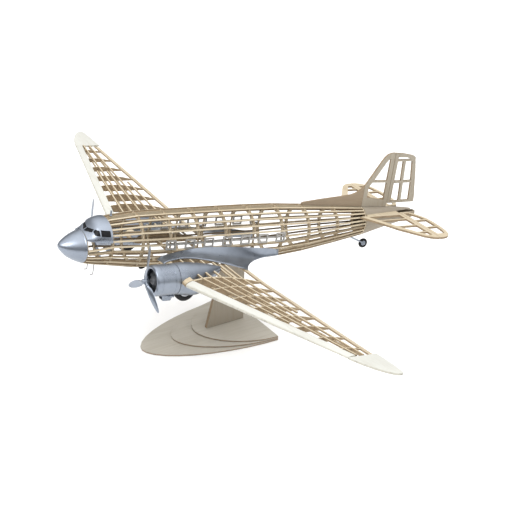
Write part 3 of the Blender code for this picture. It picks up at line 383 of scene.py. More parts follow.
def smooth_rows(rows: Rows, at: float) -> list[float]:
    """Return the smooth values at a place along rows of (place, value, value...)."""
    last = len(rows) - 2
    i = max(k for k in range(last + 1) if k == 0 or rows[k][0] <= at)
    before, low = rows[max(i - 1, 0)], rows[i]
    high, after = rows[i + 1], rows[min(i + 2, last + 1)]
    span = high[0] - low[0]
    t = (at - low[0]) / span
    values = []
    for k in range(1, len(low)):
        rise_low = (high[k] - before[k]) / (high[0] - before[0]) * span
        rise_high = (after[k] - low[k]) / (after[0] - low[0]) * span
        values.append((2 * t ** 3 - 3 * t ** 2 + 1) * low[k] + (t ** 3 - 2 * t ** 2 + t) * rise_low
                      + (3 * t ** 2 - 2 * t ** 3) * high[k] + (t ** 3 - t ** 2) * rise_high)
    return values


# ================================================================ finishes
class Grain(Enum):
    """Which way the grain runs in the level airframe."""

    ACROSS = (0.035, 1.0, 1.0)
    ALONG = (1.0, 0.035, 1.0)
    UP = (1.0, 1.0, 0.035)


class Sheet(Enum):
    """Which way the flat faces of a wooden piece look; the others are saw cuts."""

    SIDE = (1.0, 0.0, 0.0)
    FORE = (0.0, 1.0, 0.0)
    UP = (0.0, 0.0, 1.0)
    AROUND = (1.0, 0.0, 1.0)


class Shader:
    """A procedural material under construction."""

    def __init__(self, name: str) -> None:
        """Start a material with an empty Principled surface."""
        self.material = bpy.data.materials.new(name)
        self.material.use_nodes = True
        self.tree = self.material.node_tree
        self.surface = self.tree.nodes["Principled BSDF"]

    def node(self, kind: str, inputs: dict | None = None, **settings: object) -> bpy.types.Node:
        """Add a node.

        Args:
            kind: node type without its prefix.
            inputs: values or sockets for its inputs, by name or number.
            **settings: its attributes.

        Returns:
            The node.
        """
        node = self.tree.nodes.new("ShaderNode" + kind)
        for key, value in settings.items():
            setattr(node, key, value)
        for key, value in (inputs or {}).items():
            self.feed(node.inputs[key], value)
        return node

    def feed(self, socket: Socket, value: object) -> None:
        """Link an output socket to a socket, or set its value."""
        if isinstance(value, Socket):
            self.tree.links.new(value, socket)
        else:
            socket.default_value = value

    def sums(self, operation: str, *values: object, clamp: bool = False) -> Socket:
        """Return the output of a Math node."""
        node = self.node("Math", operation=operation, use_clamp=clamp)
        for socket, value in zip(node.inputs, values):
            self.feed(socket, value)
        return node.outputs[0]

    def noise(self, vector: object, scale: float, detail: float = 3, rough: float = 0.55,
              warp: float = 0.0) -> Socket:
        """Return a noise value between 0 and 1."""
        node = self.node("TexNoise", {"Vector": vector, "Scale": scale, "Detail": detail,
                                      "Roughness": rough, "Distortion": warp})
        return node.outputs["Fac"]

    def spread(self, value: object, low: float, high: float, to_low: float = 0.0,
               to_high: float = 1.0) -> Socket:
        """Return a value stretched smoothly from one range to another."""
        inputs = {"Value": value, "From Min": low, "From Max": high, "To Min": to_low, "To Max": to_high}
        node = self.node("MapRange", inputs, interpolation_type="SMOOTHSTEP")
        return node.outputs["Result"]

    def blend(self, share: object, first: object, second: object) -> Socket:
        """Return the mix of two colours."""
        node = self.node("Mix", data_type="RGBA")
        share_in, first_in, second_in, colour_out = "Factor", 6, 7, 2
        for key, value in ((share_in, share), (first_in, first), (second_in, second)):
            plain = isinstance(value, tuple) and len(value) == 3
            self.feed(node.inputs[key], (*value, 1.0) if plain else value)
        return node.outputs[colour_out]

    def level_frame(self, on_plane: bool) -> tuple[Socket, Socket]:
        """Return place and normal, turned back to the level airframe where asked."""
        coords = self.node("TexCoord")
        if not on_plane:
            return coords.outputs["Object"], coords.outputs["Normal"]
        turn = (PITCH, 0.0, 0.0)
        shift = -(LEVEL_TO_STAND.inverted() @ NOSE_TIP)
        place = self.node("Mapping", {"Vector": coords.outputs["Object"], "Rotation": turn,
                                      "Location": shift}, vector_type="POINT")
        look = self.node("Mapping", {"Vector": coords.outputs["Normal"], "Rotation": turn},
                         vector_type="VECTOR")
        return place.outputs[0], look.outputs[0]

    def finish(self, colour: object, rough: object, bump: object, depth: float) -> bpy.types.Material:
        """Connect the surface and return the material."""
        self.feed(self.surface.inputs["Base Color"], colour)
        self.feed(self.surface.inputs["Roughness"], rough)
        relief = self.node("Bump", {"Height": bump, "Strength": 0.5, "Distance": depth})
        self.feed(self.surface.inputs["Normal"], relief.outputs[0])
        return self.material


@dataclass(frozen=True)
class Wood:
    """Laser cut balsa or plywood: pale sheet faces, tanned cut edges, and painted shade on the inward faces
    of round pieces.
    """

    name: str
    grain: Grain
    sheet: Sheet
    slot: str = "balsa"
    face: Colour = (0.53, 0.455, 0.33)
    streak: Colour = (0.36, 0.265, 0.155)
    cut: Colour = (0.25, 0.175, 0.10)
    # painted shade: colour of the inward faces of round pieces, which the light doesn't reach
    inside: Colour = (0.14, 0.105, 0.066)
    on_plane: bool = True
    lines: float = 1100.0
    band_share: float = 0.16
    patches: float = 13.0
    burns: float = 140.0
    plies: float = 0.0
    depth: float = 0.12

    def build(self) -> Finish:
        """Return the finish."""
        shader = Shader(self.name)
        place, look = shader.level_frame(self.on_plane)
        long_way = Vector(self.grain.value)
        fibres = shader.node("Mapping", {"Vector": place, "Scale": long_way * self.lines}).outputs[0]
        wide = long_way * self.lines * self.band_share
        bands = shader.node("Mapping", {"Vector": place, "Scale": wide}).outputs[0]
        fine = shader.noise(fibres, 1.0, 5, 0.62)
        broad = shader.noise(bands, 1.0, 3, 0.5, 0.4)
        patch = shader.noise(place, self.patches, 2, 0.5)
        dark = shader.sums("MULTIPLY", shader.spread(fine, 0.42, 0.78), 0.42)
        dark = shader.sums("ADD", dark, shader.spread(broad, 0.45, 0.8, 0.0, 0.4), clamp=True)
        face = shader.blend(dark, self.face, self.streak)
        pale = tuple(min(1.0, c * 1.09) for c in self.face)
        face = shader.blend(shader.spread(patch, 0.42, 0.72, 0.0, 0.5), face, pale)
        burn = shader.noise(place, self.burns, 3, 0.6)
        char = tuple(c * 0.55 for c in self.cut)
        cut = shader.blend(shader.spread(burn, 0.45, 0.8), self.cut, char)
        cut = shader.blend(shader.spread(fine, 0.3, 0.8, 0.0, 0.35), cut, self.face)
        if self.plies:
            height = shader.node("SeparateXYZ", {0: place}).outputs["Z"]
            wave = shader.sums("SINE", shader.sums("MULTIPLY", height, self.plies * 2 * math.pi))
            cut = shader.blend(shader.spread(wave, -0.3, 0.5, 0.0, 0.6), cut, self.face)
        facing = self.facing(shader, place, look)
        on_edge = shader.spread(shader.sums("ABSOLUTE", facing), 0.80, 0.55)
        colour = shader.blend(on_edge, face, cut)
        # Painted shade: faces that look in towards the body's axis get the dark inside colour.
        if self.sheet is Sheet.AROUND:
            colour = shader.blend(shader.spread(facing, -0.55, -0.8), colour, self.inside)
        rough = shader.spread(fine, 0.2, 0.8, 0.52, 0.78)
        shader.surface.inputs["Specular IOR Level"].default_value = 0.3
        return Finish(self.slot, shader.finish(colour, rough, fine, self.depth * MM))

    def facing(self, shader: Shader, place: Socket,
               look: Socket) -> Socket:
        """Return 1 or -1 on the sheet's two flat sides and 0 on its cut edges."""
        if self.sheet is Sheet.AROUND:
            out = shader.node("VectorMath", {0: place, 1: self.sheet.value}, operation="MULTIPLY")
            out = shader.node("VectorMath", {0: out.outputs[0]}, operation="NORMALIZE")
            dot = shader.node("VectorMath", {0: out.outputs[0], 1: look}, operation="DOT_PRODUCT")
        else:
            dot = shader.node("VectorMath", {0: look, 1: self.sheet.value}, operation="DOT_PRODUCT")
        return dot.outputs["Value"]


@dataclass(frozen=True)
class Moulding:
    """Moulded plastic, rubber or bare metal."""

    name: str
    colour: Colour
    rough: float
    slot: str = ""
    metal: float = 0.0
    mottle: float = 0.12
    pits: float = 0.03
    shine: float = 0.5
    clouds: float = 38.0
    grain: float = 1500.0
    rub_scale: tuple[float, float, float] = (700.0, 60.0, 260.0)

    def build(self) -> Finish:
        """Return the finish."""
        shader = Shader(self.name)
        place = shader.node("TexCoord").outputs["Object"]
        cloud = shader.noise(place, self.clouds, 4, 0.6)
        grit = shader.noise(place, self.grain, 2, 0.5)
        rubs = shader.node("Mapping", {"Vector": place, "Scale": self.rub_scale}).outputs[0]
        rubs = shader.noise(rubs, 1.0, 4, 0.6)
        dark = tuple(c * (1 - self.mottle) for c in self.colour)
        light = tuple(min(1.0, c * (1 + self.mottle) + 0.01) for c in self.colour)
        colour = shader.blend(shader.spread(cloud, 0.3, 0.7), dark, light)
        dust = tuple(min(1.0, c * 1.25 + 0.02) for c in self.colour)
        colour = shader.blend(shader.spread(rubs, 0.62, 0.85, 0.0, 0.5), colour, dust)
        uneven = shader.spread(cloud, 0.25, 0.75, self.rough - 0.05, self.rough + 0.06)
        rough = shader.sums("ADD", uneven, shader.spread(rubs, 0.55, 0.85, 0.0, 0.1), clamp=True)
        shader.surface.inputs["Metallic"].default_value = self.metal
        shader.surface.inputs["Specular IOR Level"].default_value = self.shine
        return Finish(self.slot or self.name, shader.finish(colour, rough, grit, self.pits * MM))


class Finishes:
    """Every finish of the plane, built once."""

    def __init__(self) -> None:
        """Build the materials."""
        self.stringer = Wood("balsa_stringer", Grain.ALONG, Sheet.AROUND).build()
        self.keel_upright = Wood("balsa_keel_upright", Grain.ALONG, Sheet.SIDE).build()
        self.keel_level = Wood("balsa_keel_level", Grain.ALONG, Sheet.UP).build()
        self.former = Wood("balsa_former", Grain.UP, Sheet.FORE).build()
        self.wing = Wood("balsa_wing", Grain.ACROSS, Sheet.UP).build()
        self.edge = Wood(
            "balsa_wing_edge", Grain.ACROSS, Sheet.UP, face=(0.56, 0.56, 0.52),
            streak=(0.46, 0.44, 0.38), cut=(0.50, 0.48, 0.41)).build()
        # Painted shade: the tail sheet, fin and dorsal sheet use darker copies of the balsa, for the shade on
        # these side-facing parts.
        self.tail_sheet = Wood("balsa_tail_sheet_shaded", Grain.ALONG, Sheet.AROUND, face=(0.32, 0.28, 0.225),
                               streak=(0.24, 0.195, 0.14), cut=(0.28, 0.23, 0.165)).build()
        self.fin = Wood("balsa_fin_shaded", Grain.UP, Sheet.SIDE, face=(0.37, 0.33, 0.265),
                        streak=(0.27, 0.215, 0.15)).build()
        self.dorsal = Wood("balsa_dorsal_shaded", Grain.ALONG, Sheet.SIDE, face=(0.30, 0.235, 0.165),
                           streak=(0.22, 0.16, 0.10)).build()
        self.stand = Wood(
            "stand_plywood", Grain.ALONG, Sheet.UP, slot="stand_plywood", face=(0.45, 0.425, 0.37),
            streak=(0.33, 0.29, 0.23), cut=(0.25, 0.16, 0.09),
            on_plane=False, lines=800.0, plies=1400.0).build()
        # Painted shade: the pylon uses a darker copy of the stand plywood, for the shade on its side faces.
        self.pylon = Wood(
            "pylon_plywood_shaded", Grain.UP, Sheet.SIDE, slot="stand_plywood", face=(0.34, 0.30, 0.24),
            streak=(0.27, 0.22, 0.16), cut=(0.30, 0.22, 0.14), on_plane=False, lines=800.0).build()
        self.silver = Moulding("silver_plastic", (0.25, 0.28, 0.33), 0.30, metal=0.85,
                               mottle=0.08, pits=0.006).build()
        self.bright = Moulding("bright_silver", (0.62, 0.64, 0.69), 0.28, slot="silver_plastic",
                               metal=0.75, mottle=0.05).build()
        self.grey = Moulding("grey_plastic", (0.085, 0.09, 0.10), 0.45, mottle=0.2).build()
        self.trim = Moulding("window_plastic", (0.33, 0.32, 0.30), 0.5, mottle=0.1).build()
        self.black = Moulding("black_plastic", (0.004, 0.0045, 0.006), 0.3, mottle=0.3,
                              shine=0.12).build()
        self.rubber = Moulding("black_rubber", (0.010, 0.010, 0.011), 0.7, mottle=0.3, pits=0.05,
                               shine=0.25).build()
        self.wire = Moulding("steel_wire", (0.10, 0.10, 0.11), 0.35, metal=0.6, mottle=0.12).build()


def dress(finish: Finish, *nodes: str) -> None:
    """Give CAD nodes that stay in view their finish."""
    for node in nodes:
        piece = frame["nodes"][node]
        for slot in piece.material_slots:
            slot.material = finish.material
        if not piece.material_slots:
            piece.data.materials.append(finish.material)
        LOG.info("%s keeps its shape, in %s", node, finish.material.name)


# ================================================================ body
@dataclass
class Body:
    """Skeleton body: stringers, formers, keels, windows, sheeted tail, nose and canopy."""

    sections: Rows = (
        (0, 0, -1, -1), (4, 8.2, 4.8, -8.6), (11, 15, 9.7, -15.6), (22, 22.2, 15.4, -22),
        (33, 27, 19.6, -26), (50, 32, 28.5, -29.3), (66, 34.6, 36.5, -31.5), (94, 37, 40, -36), (125, 37.8, 40.8, -39.8),
        (170, 38, 40.9, -41.5), (290, 38, 40.2, -41.8), (340, 37.2, 38.9, -41), (388, 34.5, 35.8, -36),
        (444, 28, 31.5, -28),
        (500, 20, 26.8, -19.5), (547, 13.5, 24, -9), (585, 8, 21, -1), (610, 3.5, 17, 5))
    canopy_top: Rows = ((32, 19.4), (36, 21.2), (39, 22.8), (42, 25.8), (45, 29.8), (48, 32.8), (52, 34.9),
                        (58, 36.5), (66, 37.2))
    canopy_edge: float = 11.4
    nose_end: float = 32.0
    canopy_end: float = 65.0
    wall: float = 1.0
    formers: int = 9
    nose_stations: Sequence[float] = (0.2, 0.42, 0.8, 1.8, 3.2, 5, 7.2, 9.8, 12.8, 16, 19.5, 23, 26.5, 29.6)
    joint_line: tuple[float, float, float] = (29.9, 30.2, 30.5)
    joint_depth: float = 0.25
    screen: Sequence[tuple[float, float, float]] = ((3.4, 28, 19.5), (17.4, 45.5, 23.6))
    screen_tilt: float = 7.0
    side_panes: Rows = ((42.2, 48.6, 19.6, 25.9), (49.9, 62.2, 19.3, 26.8))
    pane_reach: tuple[float, float] = (15.6, 44.0)
    mast_station: float = 74.0
    mast_rows: Rows = ((0, 2.1), (0.4, 2.1), (0.9, 1.5), (5.6, 1.15), (6.2, 1.35), (6.9, 1.2), (7.2, 0.6))
    pod_station: float = 127.4
    pod_drop: float = 3.2
    pod_rows: Rows = ((0, 0.05), (0.3, 0.9), (0.8, 1.5), (1.6, 2.1), (2.6, 2.4), (4, 2.42), (5.4, 2.3),
                      (7, 1.8), (8.4, 1.25), (9.6, 0.6), (10.4, 0.05))
    tail_stations: Sequence[float] = (501.9, 512, 522, 532, 542, 552, 562, 572, 582, 592, 600, 605, 607)
    tail_end: float = 608.4
    tail_wall: float = 1.4
    tail_cuts: tuple[float, float] = (15.2, 18.8)
    lamp_rows: Rows = ((0, 2.2), (0.5, 2.5), (1.1, 2.2), (1.5, 1.6), (1.7, 0.05))

    def ring(self, station: float, inset: float = 0.0) -> Ring:
        """Return the body's section at a station."""
        rows = [(math.sqrt(row[0]), *row[1:]) for row in self.sections]
        wide, top, bottom = smooth_rows(rows, math.sqrt(station))
        return Ring(station, wide - inset, (top - bottom) / 2 - inset, 0, (top + bottom) / 2)

    def canopy_ring(self, station: float, inset: float = 0.0) -> Ring:
        """Return the canopy's full oval at a station; its upper half is used."""
        body = self.ring(station)
        rise = (self.canopy_edge - body.z) / body.high
        wide = body.wide * math.sqrt(max(1 - rise * rise, 0.01))
        top = smooth_rows(self.canopy_top, station)[0] - self.canopy_edge
        return Ring(station, wide - inset, top - inset, 0, self.canopy_edge)

    def build(self, finishes: Finishes) -> None:
        """Build and dress the whole body."""
        sides = ("left", "right")
        dress(finishes.stringer, "fuselage_stringers")
        dress(finishes.former, *(f"former_{number}" for number in range(1, self.formers + 1)))
        dress(finishes.keel_upright, "keel_top", "keel_bottom")
        dress(finishes.keel_level, "keel_left", "keel_right")
        dress(finishes.trim, *(f"window_frames_{side}" for side in sides))
        dress(finishes.wire, *(f"pitot_mast_{side}" for side in sides))
        dress(finishes.dorsal, "dorsal_sheet")
        self.nose(finishes)
        self.canopy(finishes)
        self.masts(finishes)
        self.tail(finishes)

    def nose(self, finishes: Finishes) -> None:
        """Nose cone: a thin lofted shell with a joint line round its back edge."""
        rings = [self.ring(station) for station in self.nose_stations]
        front, middle, back = self.joint_line
        rings += [self.ring(front, self.joint_depth), self.ring(middle, self.joint_depth)]
        rings += [self.ring(back), self.ring(self.nose_end)]
        piece = Bench.loft(rings, 72, End.POINT)
        Bench.modify(piece, "SOLIDIFY", thickness=self.wall * MM, offset=-1)
        Bench.hand_in(piece, "nose_shell", finishes.silver, ["nose_cone"], angle=40)

    def canopy_shell(self, inset: float, thickness: float, start: float, end: float) -> Piece:
        """Return the upper half of the canopy's oval as a shell."""
        steps = 14
        stations = [start + (end - start) * (k / steps) ** 1.25 for k in range(steps + 1)]
        piece = Bench.loft([self.canopy_ring(s, inset) for s in stations], 72)
        Bench.edit(piece)
        bpy.ops.mesh.bisect(plane_co=(0, 0, self.canopy_edge * MM), plane_no=(0, 0, 1), clear_inner=True)
        Bench.close()
        Bench.modify(piece, "SOLIDIFY", thickness=thickness * MM, offset=-1)
        return piece

    def canopy(self, finishes: Finishes) -> None:
        """Canopy with windscreen and side windows cut through, and dark panes behind."""
        piece = self.canopy_shell(0, self.wall, self.nose_end + 0.3, self.canopy_end)
        tools = []
        for side in (1, -1):
            (near, front, foot), (far, rear, head) = self.screen
            low, high = sorted((side * near, side * far))
            screen = Bench.block((low, front, foot), (high, rear, head), edge=0.4)
            tools.append(Bench.place(screen, (0, 0, 0), (0, -side * self.screen_tilt, 0)))
            for front, rear, foot, head in self.side_panes:
                low, high = sorted(side * reach for reach in self.pane_reach)
                tools.append(Bench.block((low, front, foot), (high, rear, head), edge=0.7))
        Bench.carve(piece, tools)
        Bench.hand_in(piece, "canopy_shell", finishes.silver, ["cockpit_canopy"], angle=40)
        panes = self.canopy_shell(self.wall + 0.15, 0.6, self.nose_end + 2.4, self.canopy_end - 0.4)
        Bench.hand_in(panes, "cockpit_panes", finishes.black, ["cockpit_glazing"], angle=50)

    def masts(self, finishes: Finishes) -> None:
        """Aerial mast behind the canopy and the pod under the body."""
        foot = self.ring(self.mast_station)
        head = self.mast_rows[-1][0] * MM - SAME_PLACE
        mast = Bench.turned(self.mast_rows, 24, End.FLAT, End.OPEN)
        Bench.edit(mast)
        Bench.pick(mast, lambda co: co.y > head)
        bpy.ops.mesh.merge(type="CENTER")
        Bench.close()
        Bench.place(mast, Vector((0, self.mast_station, foot.z + foot.high + 0.2)) * MM, (90, 0, 0))
        Bench.outward(mast)
        Bench.hand_in(mast, "aerial_post", finishes.silver, ["aerial_mast"], angle=40)
        belly = self.ring(self.pod_station)
        pod = Bench.turned(self.pod_rows, 32, End.POINT, End.POINT)
        height = belly.z - belly.high - self.pod_drop
        Bench.place(pod, Vector((0, self.pod_station, height)) * MM, (-1.7, 0, 0))
        Bench.hand_in(pod, "aerial_bulb", finishes.black, ["aerial_pod"], angle=60)

    def tail(self, finishes: Finishes) -> None:
        """Sheeted tail under and over the stabilizer, with a small lamp at its end."""
        last = self.ring(self.tail_stations[-1])
        middle = Ring(self.tail_end, 0.3, 0.3, 0, last.z)
        low_cut, high_cut = self.tail_cuts
        for name, node, cut, keep_low in (("tail_skin_lower", "tail_cone", low_cut, True),
                                          ("tail_skin_upper", "tail_top_fairing", high_cut, False)):
            rings = [self.ring(station) for station in self.tail_stations] + [middle]
            piece = Bench.loft(rings, 64, End.OPEN, End.POINT)
            Bench.edit(piece)
            bpy.ops.mesh.bisect(plane_co=(0, 0, cut * MM), plane_no=(0, 0, 1),
                                clear_outer=keep_low, clear_inner=not keep_low)
            Bench.close()
            Bench.modify(piece, "SOLIDIFY", thickness=self.tail_wall * MM, offset=-1)
            Bench.hand_in(piece, name, finishes.tail_sheet, [node], angle=30)
        lamp = Bench.turned(self.lamp_rows, 24, End.FLAT, End.POINT)
        Bench.place(lamp, Vector((0, 606.6, last.z - 1.2)) * MM)
        Bench.hand_in(lamp, "tail_lamp", finishes.black, angle=50)


# ================================================================ wings and tail surfaces
@dataclass
class Surfaces:
    """Wing panels, fin, stabilizer and the three hinged control surfaces."""

    edge_round: float = 1.1
    tip_round: float = 0.9

    def build(self, finishes: Finishes) -> None:
        """Build and dress the flying surfaces."""
        dress(finishes.wing, "wing_centre_section")
        dress(finishes.fin, "fin_frame", "rudder_frame")
        dress(finishes.wing, "stabilizer_frame")
        for side in ("left", "right"):
            dress(finishes.wing, f"wing_frame_{side}", f"elevator_{side}")
            for node, name, width in (("wing_leading_edge", "leading_edge_round", self.edge_round),
                                      ("wing_tip", "wing_tip_round", self.tip_round)):
                self.rounded(f"{node}_{side}", f"{name}_{side}", width, finishes.edge)
            self.fillet(side, finishes)

    def rounded(self, node: str, name: str, width: float, finish: Finish) -> None:
        """Replace a wooden node by a copy with sanded edges."""
        piece = Bench.copy_node(node)
        Bench.modify(piece, "BEVEL", width=width * MM, segments=4, limit_method="ANGLE",
                     angle_limit=math.radians(18), loop_slide=False, use_clamp_overlap=True)
        Bench.smooth(piece, 30)
        Bench.hand_in(piece, name, finish, [node])

    def fillet(self, side: str, finishes: Finishes) -> None:
        """Replace a wing fillet by a smooth copy with crisp edges."""
        node = f"wing_fillet_{side}"
        piece = Bench.copy_node(node, flatten=False)
        Bench.edit(piece)
        bpy.ops.mesh.tris_convert_to_quads(face_threshold=math.radians(50),
                                           shape_threshold=math.radians(70))
        bpy.ops.mesh.select_all(action="DESELECT")
        bpy.ops.mesh.select_mode(type="EDGE")
        bpy.ops.mesh.edges_select_sharp(sharpness=math.radians(50))
        bpy.ops.transform.edge_crease(value=1.0)
        Bench.close()
        Bench.modify(piece, "SUBSURF", levels=2, render_levels=2)
        Bench.smooth(piece, 50)
        Bench.hand_in(piece, f"fillet_skin_{side}", finishes.silver, [node])


# ================================================================ engines
@dataclass
class Engine:
    """One engine group: cowl, nacelle, dummy radial and propeller."""

    across: float = 88.0
    height: float = -22.8
    front: float = 98.0
    rear: float = 133.0
    radius: float = 21.3
    wall: float = 1.0
    nacelle_rows: Rows = ((133, 21.3, -1.5, -44.1), (145, 21.6, -1.3, -45.6), (158, 21.2, -2.2, -47.6),
                          (170, 19, -3.7, -46.6), (182, 14.5, -5.5, -36), (194, 8.5, -8, -27),
                          (204, 3, -10.5, -19))
    cylinders: int = 9
    prop_station: float = 90.5
    prop_radius: float = 51.5
    blades: int = 3
    blade_rows: Rows = ((2.5, 4.4, 4.4, 40), (9, 5, 3.6, 34), (16, 9, 2.2, 22), (30, 10.4, 1.7, 12),
                        (44, 7.4, 1.2, 8), (49.5, 3.8, 0.9, 7))
    wheel: tuple[float, float] = (152.5, -40.5)
    well: tuple[float, float, float] = (17.0, 10.1, -62.0)
    lip: float = 5.5
    lip_steps: int = 10
    flaps: int = 20
    grooves: tuple[float, float] = (8.5, 27.5)
    scoop: tuple[float, ...] = (7.5, 115.5, 131.5, 8.2, -0.6)
    mouth: tuple[float, ...] = (4.3, 111.0, 121.5, 6.8, 1.6)
    pipe_rows: Rows = ((0, 1.5), (0.3, 1.8), (7, 1.8), (7.3, 1.5), (7.3, 1.1), (2, 1.1), (2, 0.05))
    fins: int = 7
    fin_pitch: float = 1.35
    case_rows: Rows = ((1.0, 2.6), (1.6, 4.0), (3, 5.4), (4.2, 5.9), (5, 5.9), (5.4, 6.5), (12, 6.5),
                       (16.4, 6.5))
    hub_rows: Rows = ((-6.5, 0.05), (-6.4, 1.0), (-6.0, 2.2), (-5.2, 3.1), (-4.4, 3.5), (-3.2, 3.7),
                      (3.4, 4.1), (4.3, 3.8), (4.6, 3.3), (4.6, 1.25), (-2.2, 1.25), (-2.2, 0.05))
    collar_rows: Rows = ((2.4, 2.6), (5.6, 2.75), (6.3, 3.05), (7.2, 3.05), (7.9, 2.6))

    def centre(self, sign: int) -> Vector:
        """Return the middle of the engine's axis at station 0, in metres."""
        return Vector((sign * self.across, 0, self.height)) * MM

    def build(self, finishes: Finishes) -> None:
        """Build the engine group on both sides."""
        for side, sign in SIDES:
            self.cowl(side, sign, finishes)
            self.nacelle(side, sign, finishes)
            self.radial(side, sign, finishes)
            self.propeller(side, sign, finishes)

    def cowl(self, side: str, sign: int, finishes: Finishes) -> None:
        """Cowl with a rolled lip, flap lines, a rear joint and the scoop below."""
        face, size, bore = self.front, self.radius, self.radius - self.wall
        lip, rows = self.lip, []
        for step in range(self.lip_steps + 1):
            turn = math.pi * step / self.lip_steps
            height = size - lip / 2 - 0.2 + (lip / 2 - 0.2) * -math.cos(turn)
            rows.append((face + 2.8 * (1 - math.sin(turn)), height))
        rows[-1:] = [(face + 2.8, size - 0.35), (face + 4.6, size - 0.1), (face + 7, size)]
        for groove in (face + place for place in self.grooves):
            rows += [(groove, size), (groove + 0.25, size - 0.3), (groove + 0.55, size - 0.3),
                     (groove + 0.8, size)]
        rows += [(self.rear - 0.5, size), (self.rear, size - 0.4), (self.rear, bore), (face + 7.5, bore),
                 (face + 4, bore - 2.4), (face + 2.9, size - lip)]
        shell = Bench.turned(rows, 72, wrap=True)
        ridge = Bench.block((-0.35, face + 28.6, size - 0.25), (0.35, self.rear - 0.6, size + 0.12),
                            edge=0.1)
        flaps = Bench.around(ridge, self.flaps)
        half, start, stop, deep, shallow = self.scoop
        scoop = Bench.block((-half, start, -size - deep), (half, stop, -size - shallow),
                            taper=0.74, edge=0.8)
        half, start, stop, deep, shallow = self.mouth
        mouth = Bench.block((-half, start, -size - deep), (half, stop, -size - shallow), edge=0.6)
        Bench.carve(scoop, [mouth])
        pipe = Bench.turned(self.pipe_rows, 20, End.FLAT, End.POINT)
        Bench.place(pipe, Vector((9.5, 124, -size + 1.2)) * MM, (-8, 0, 0))
        piece = Bench.join([shell, flaps, scoop, pipe])
        Bench.place(piece, self.centre(sign))
        Bench.hand_in(piece, f"cowl_shell_{side}", finishes.silver, [f"engine_cowl_{side}"], angle=38)

    def nacelle(self, side: str, sign: int, finishes: Finishes) -> None:
        """Streamlined nacelle with an open well for the half retracted wheel."""
        steps = 26
        rings = []
        for step in range(steps + 1):
            station = self.rear + 0.3 + (203.2 - self.rear) * step / steps
            wide, top, bottom = smooth_rows(self.nacelle_rows, station)
            rings.append(Ring(station, wide, (top - bottom) / 2, sign * self.across, (top + bottom) / 2))
        tip = rings[-1]
        rings.append(Ring(204.6, 0.8, 0.9, tip.x, tip.z - 1.2))
        piece = Bench.loft(rings, 64, End.OPEN, End.POINT)
        Bench.modify(piece, "SOLIDIFY", thickness=self.wall * MM, offset=-1)
        station, height = self.wheel
        reach, half, bottom = self.well
        x = sign * self.across
        well = Bench.block((x - half, station - reach, bottom), (x + half, station + reach, height + 3),
                           edge=2.5)
        Bench.carve(piece, [well])
        Bench.hand_in(piece, f"nacelle_skin_{side}", finishes.silver, [f"nacelle_{side}"], angle=38)

    def radial(self, side: str, sign: int, finishes: Finishes) -> None:
        """Nine finned cylinders round a crankcase, with pushrods and the fixed shaft."""
        face = self.front
        rows = [(4.2, 2.2)]
        for fin in range(self.fins):
            at = 6.0 + fin * self.fin_pitch
            rows += [(at, 2.1), (at + 0.1, 2.9), (at + 0.6, 2.9), (at + 0.7, 2.1)]
        rows += [(15.6, 2.3), (16.2, 1.6), (16.4, 0.05)]
        barrel = Bench.turned(rows, 20, End.FLAT, End.POINT)
        rods = []
        for shift in (-1.0, 1.0):
            rod = Bench.turned([(6.2, 0.42), (15.4, 0.42), (15.8, 0.05)], 10, End.FLAT, End.POINT)
            rods.append(Bench.place(rod, Vector((shift, 0, 3.1)) * MM))
        cylinder = Bench.place(Bench.join([barrel] + rods), Vector((0, 0, 0)), (90, 0, 0))
        ring = Bench.around(cylinder, self.cylinders, Vector((0, face + 10.4, 0)) * MM)
        case = Bench.turned([(face + along, radius) for along, radius in self.case_rows], 36,
                            End.FLAT, End.FLAT)
        bolt = Bench.turned([(0, 0.45), (0.5, 0.45), (0.65, 0.05)], 8, End.FLAT, End.POINT)
        Bench.place(bolt, Vector((0, face + 4.3, 5.2)) * MM, (180, 0, 0))
        bolts = Bench.around(bolt, self.cylinders)
        edge = self.radius - self.wall - 0.3
        plate = Bench.turned([(face + 16, 0.05), (face + 16, edge - 1.2), (face + 15.6, edge - 0.9),
                              (face + 15.6, edge), (face + 17.5, edge), (face + 17.5, 0.05)], 48,
                             End.POINT, End.POINT)
        shaft = Bench.turned([(self.prop_station - 1.4, 1.05), (face + 5, 1.05)], 20, End.FLAT, End.FLAT)
        parts = [ring, case, bolts, plate, shaft]
        for part in parts:
            Bench.outward(part)
        piece = Bench.join(parts)
        Bench.place(piece, self.centre(sign))
        Bench.hand_in(piece, f"radial_{side}", finishes.grey, [f"dummy_engine_{side}"], angle=35)

    def blade(self) -> Piece:
        """Return one twisted blade that points up from the shaft's axis."""
        scale = self.prop_radius / (self.blade_rows[-1][0] + 1.5)
        stations = [2.5, 5, 7.5, 10, 12.5, 15, 18, 22, 26, 30, 34, 38, 42, 45, 47.5, 49.2]
        rings, turns = [], []
        for station in stations:
            chord, thick, turn = smooth_rows(self.blade_rows, station)
            rings.append(Ring(station * scale, chord / 2, thick / 2))
            turns.append((station * scale * MM, turn))
        rings += [Ring(50.3 * scale, 1.3, 0.3), Ring(self.prop_radius, 0.3, 0.1)]
        turns.append((50.3 * scale * MM, turns[-1][1]))
        piece = Bench.loft(rings, 20, End.FLAT, End.POINT)
        Bench.edit(piece)
        for place, turn in turns:
            Bench.pick(piece, lambda co: abs(co.y - place) < SAME_PLACE)
            bpy.ops.transform.rotate(value=math.radians(turn), orient_axis="Y", center_override=(0, place, 0))
        Bench.close()
        return Bench.place(piece, (0, 0, 0), (90, 0, 0))

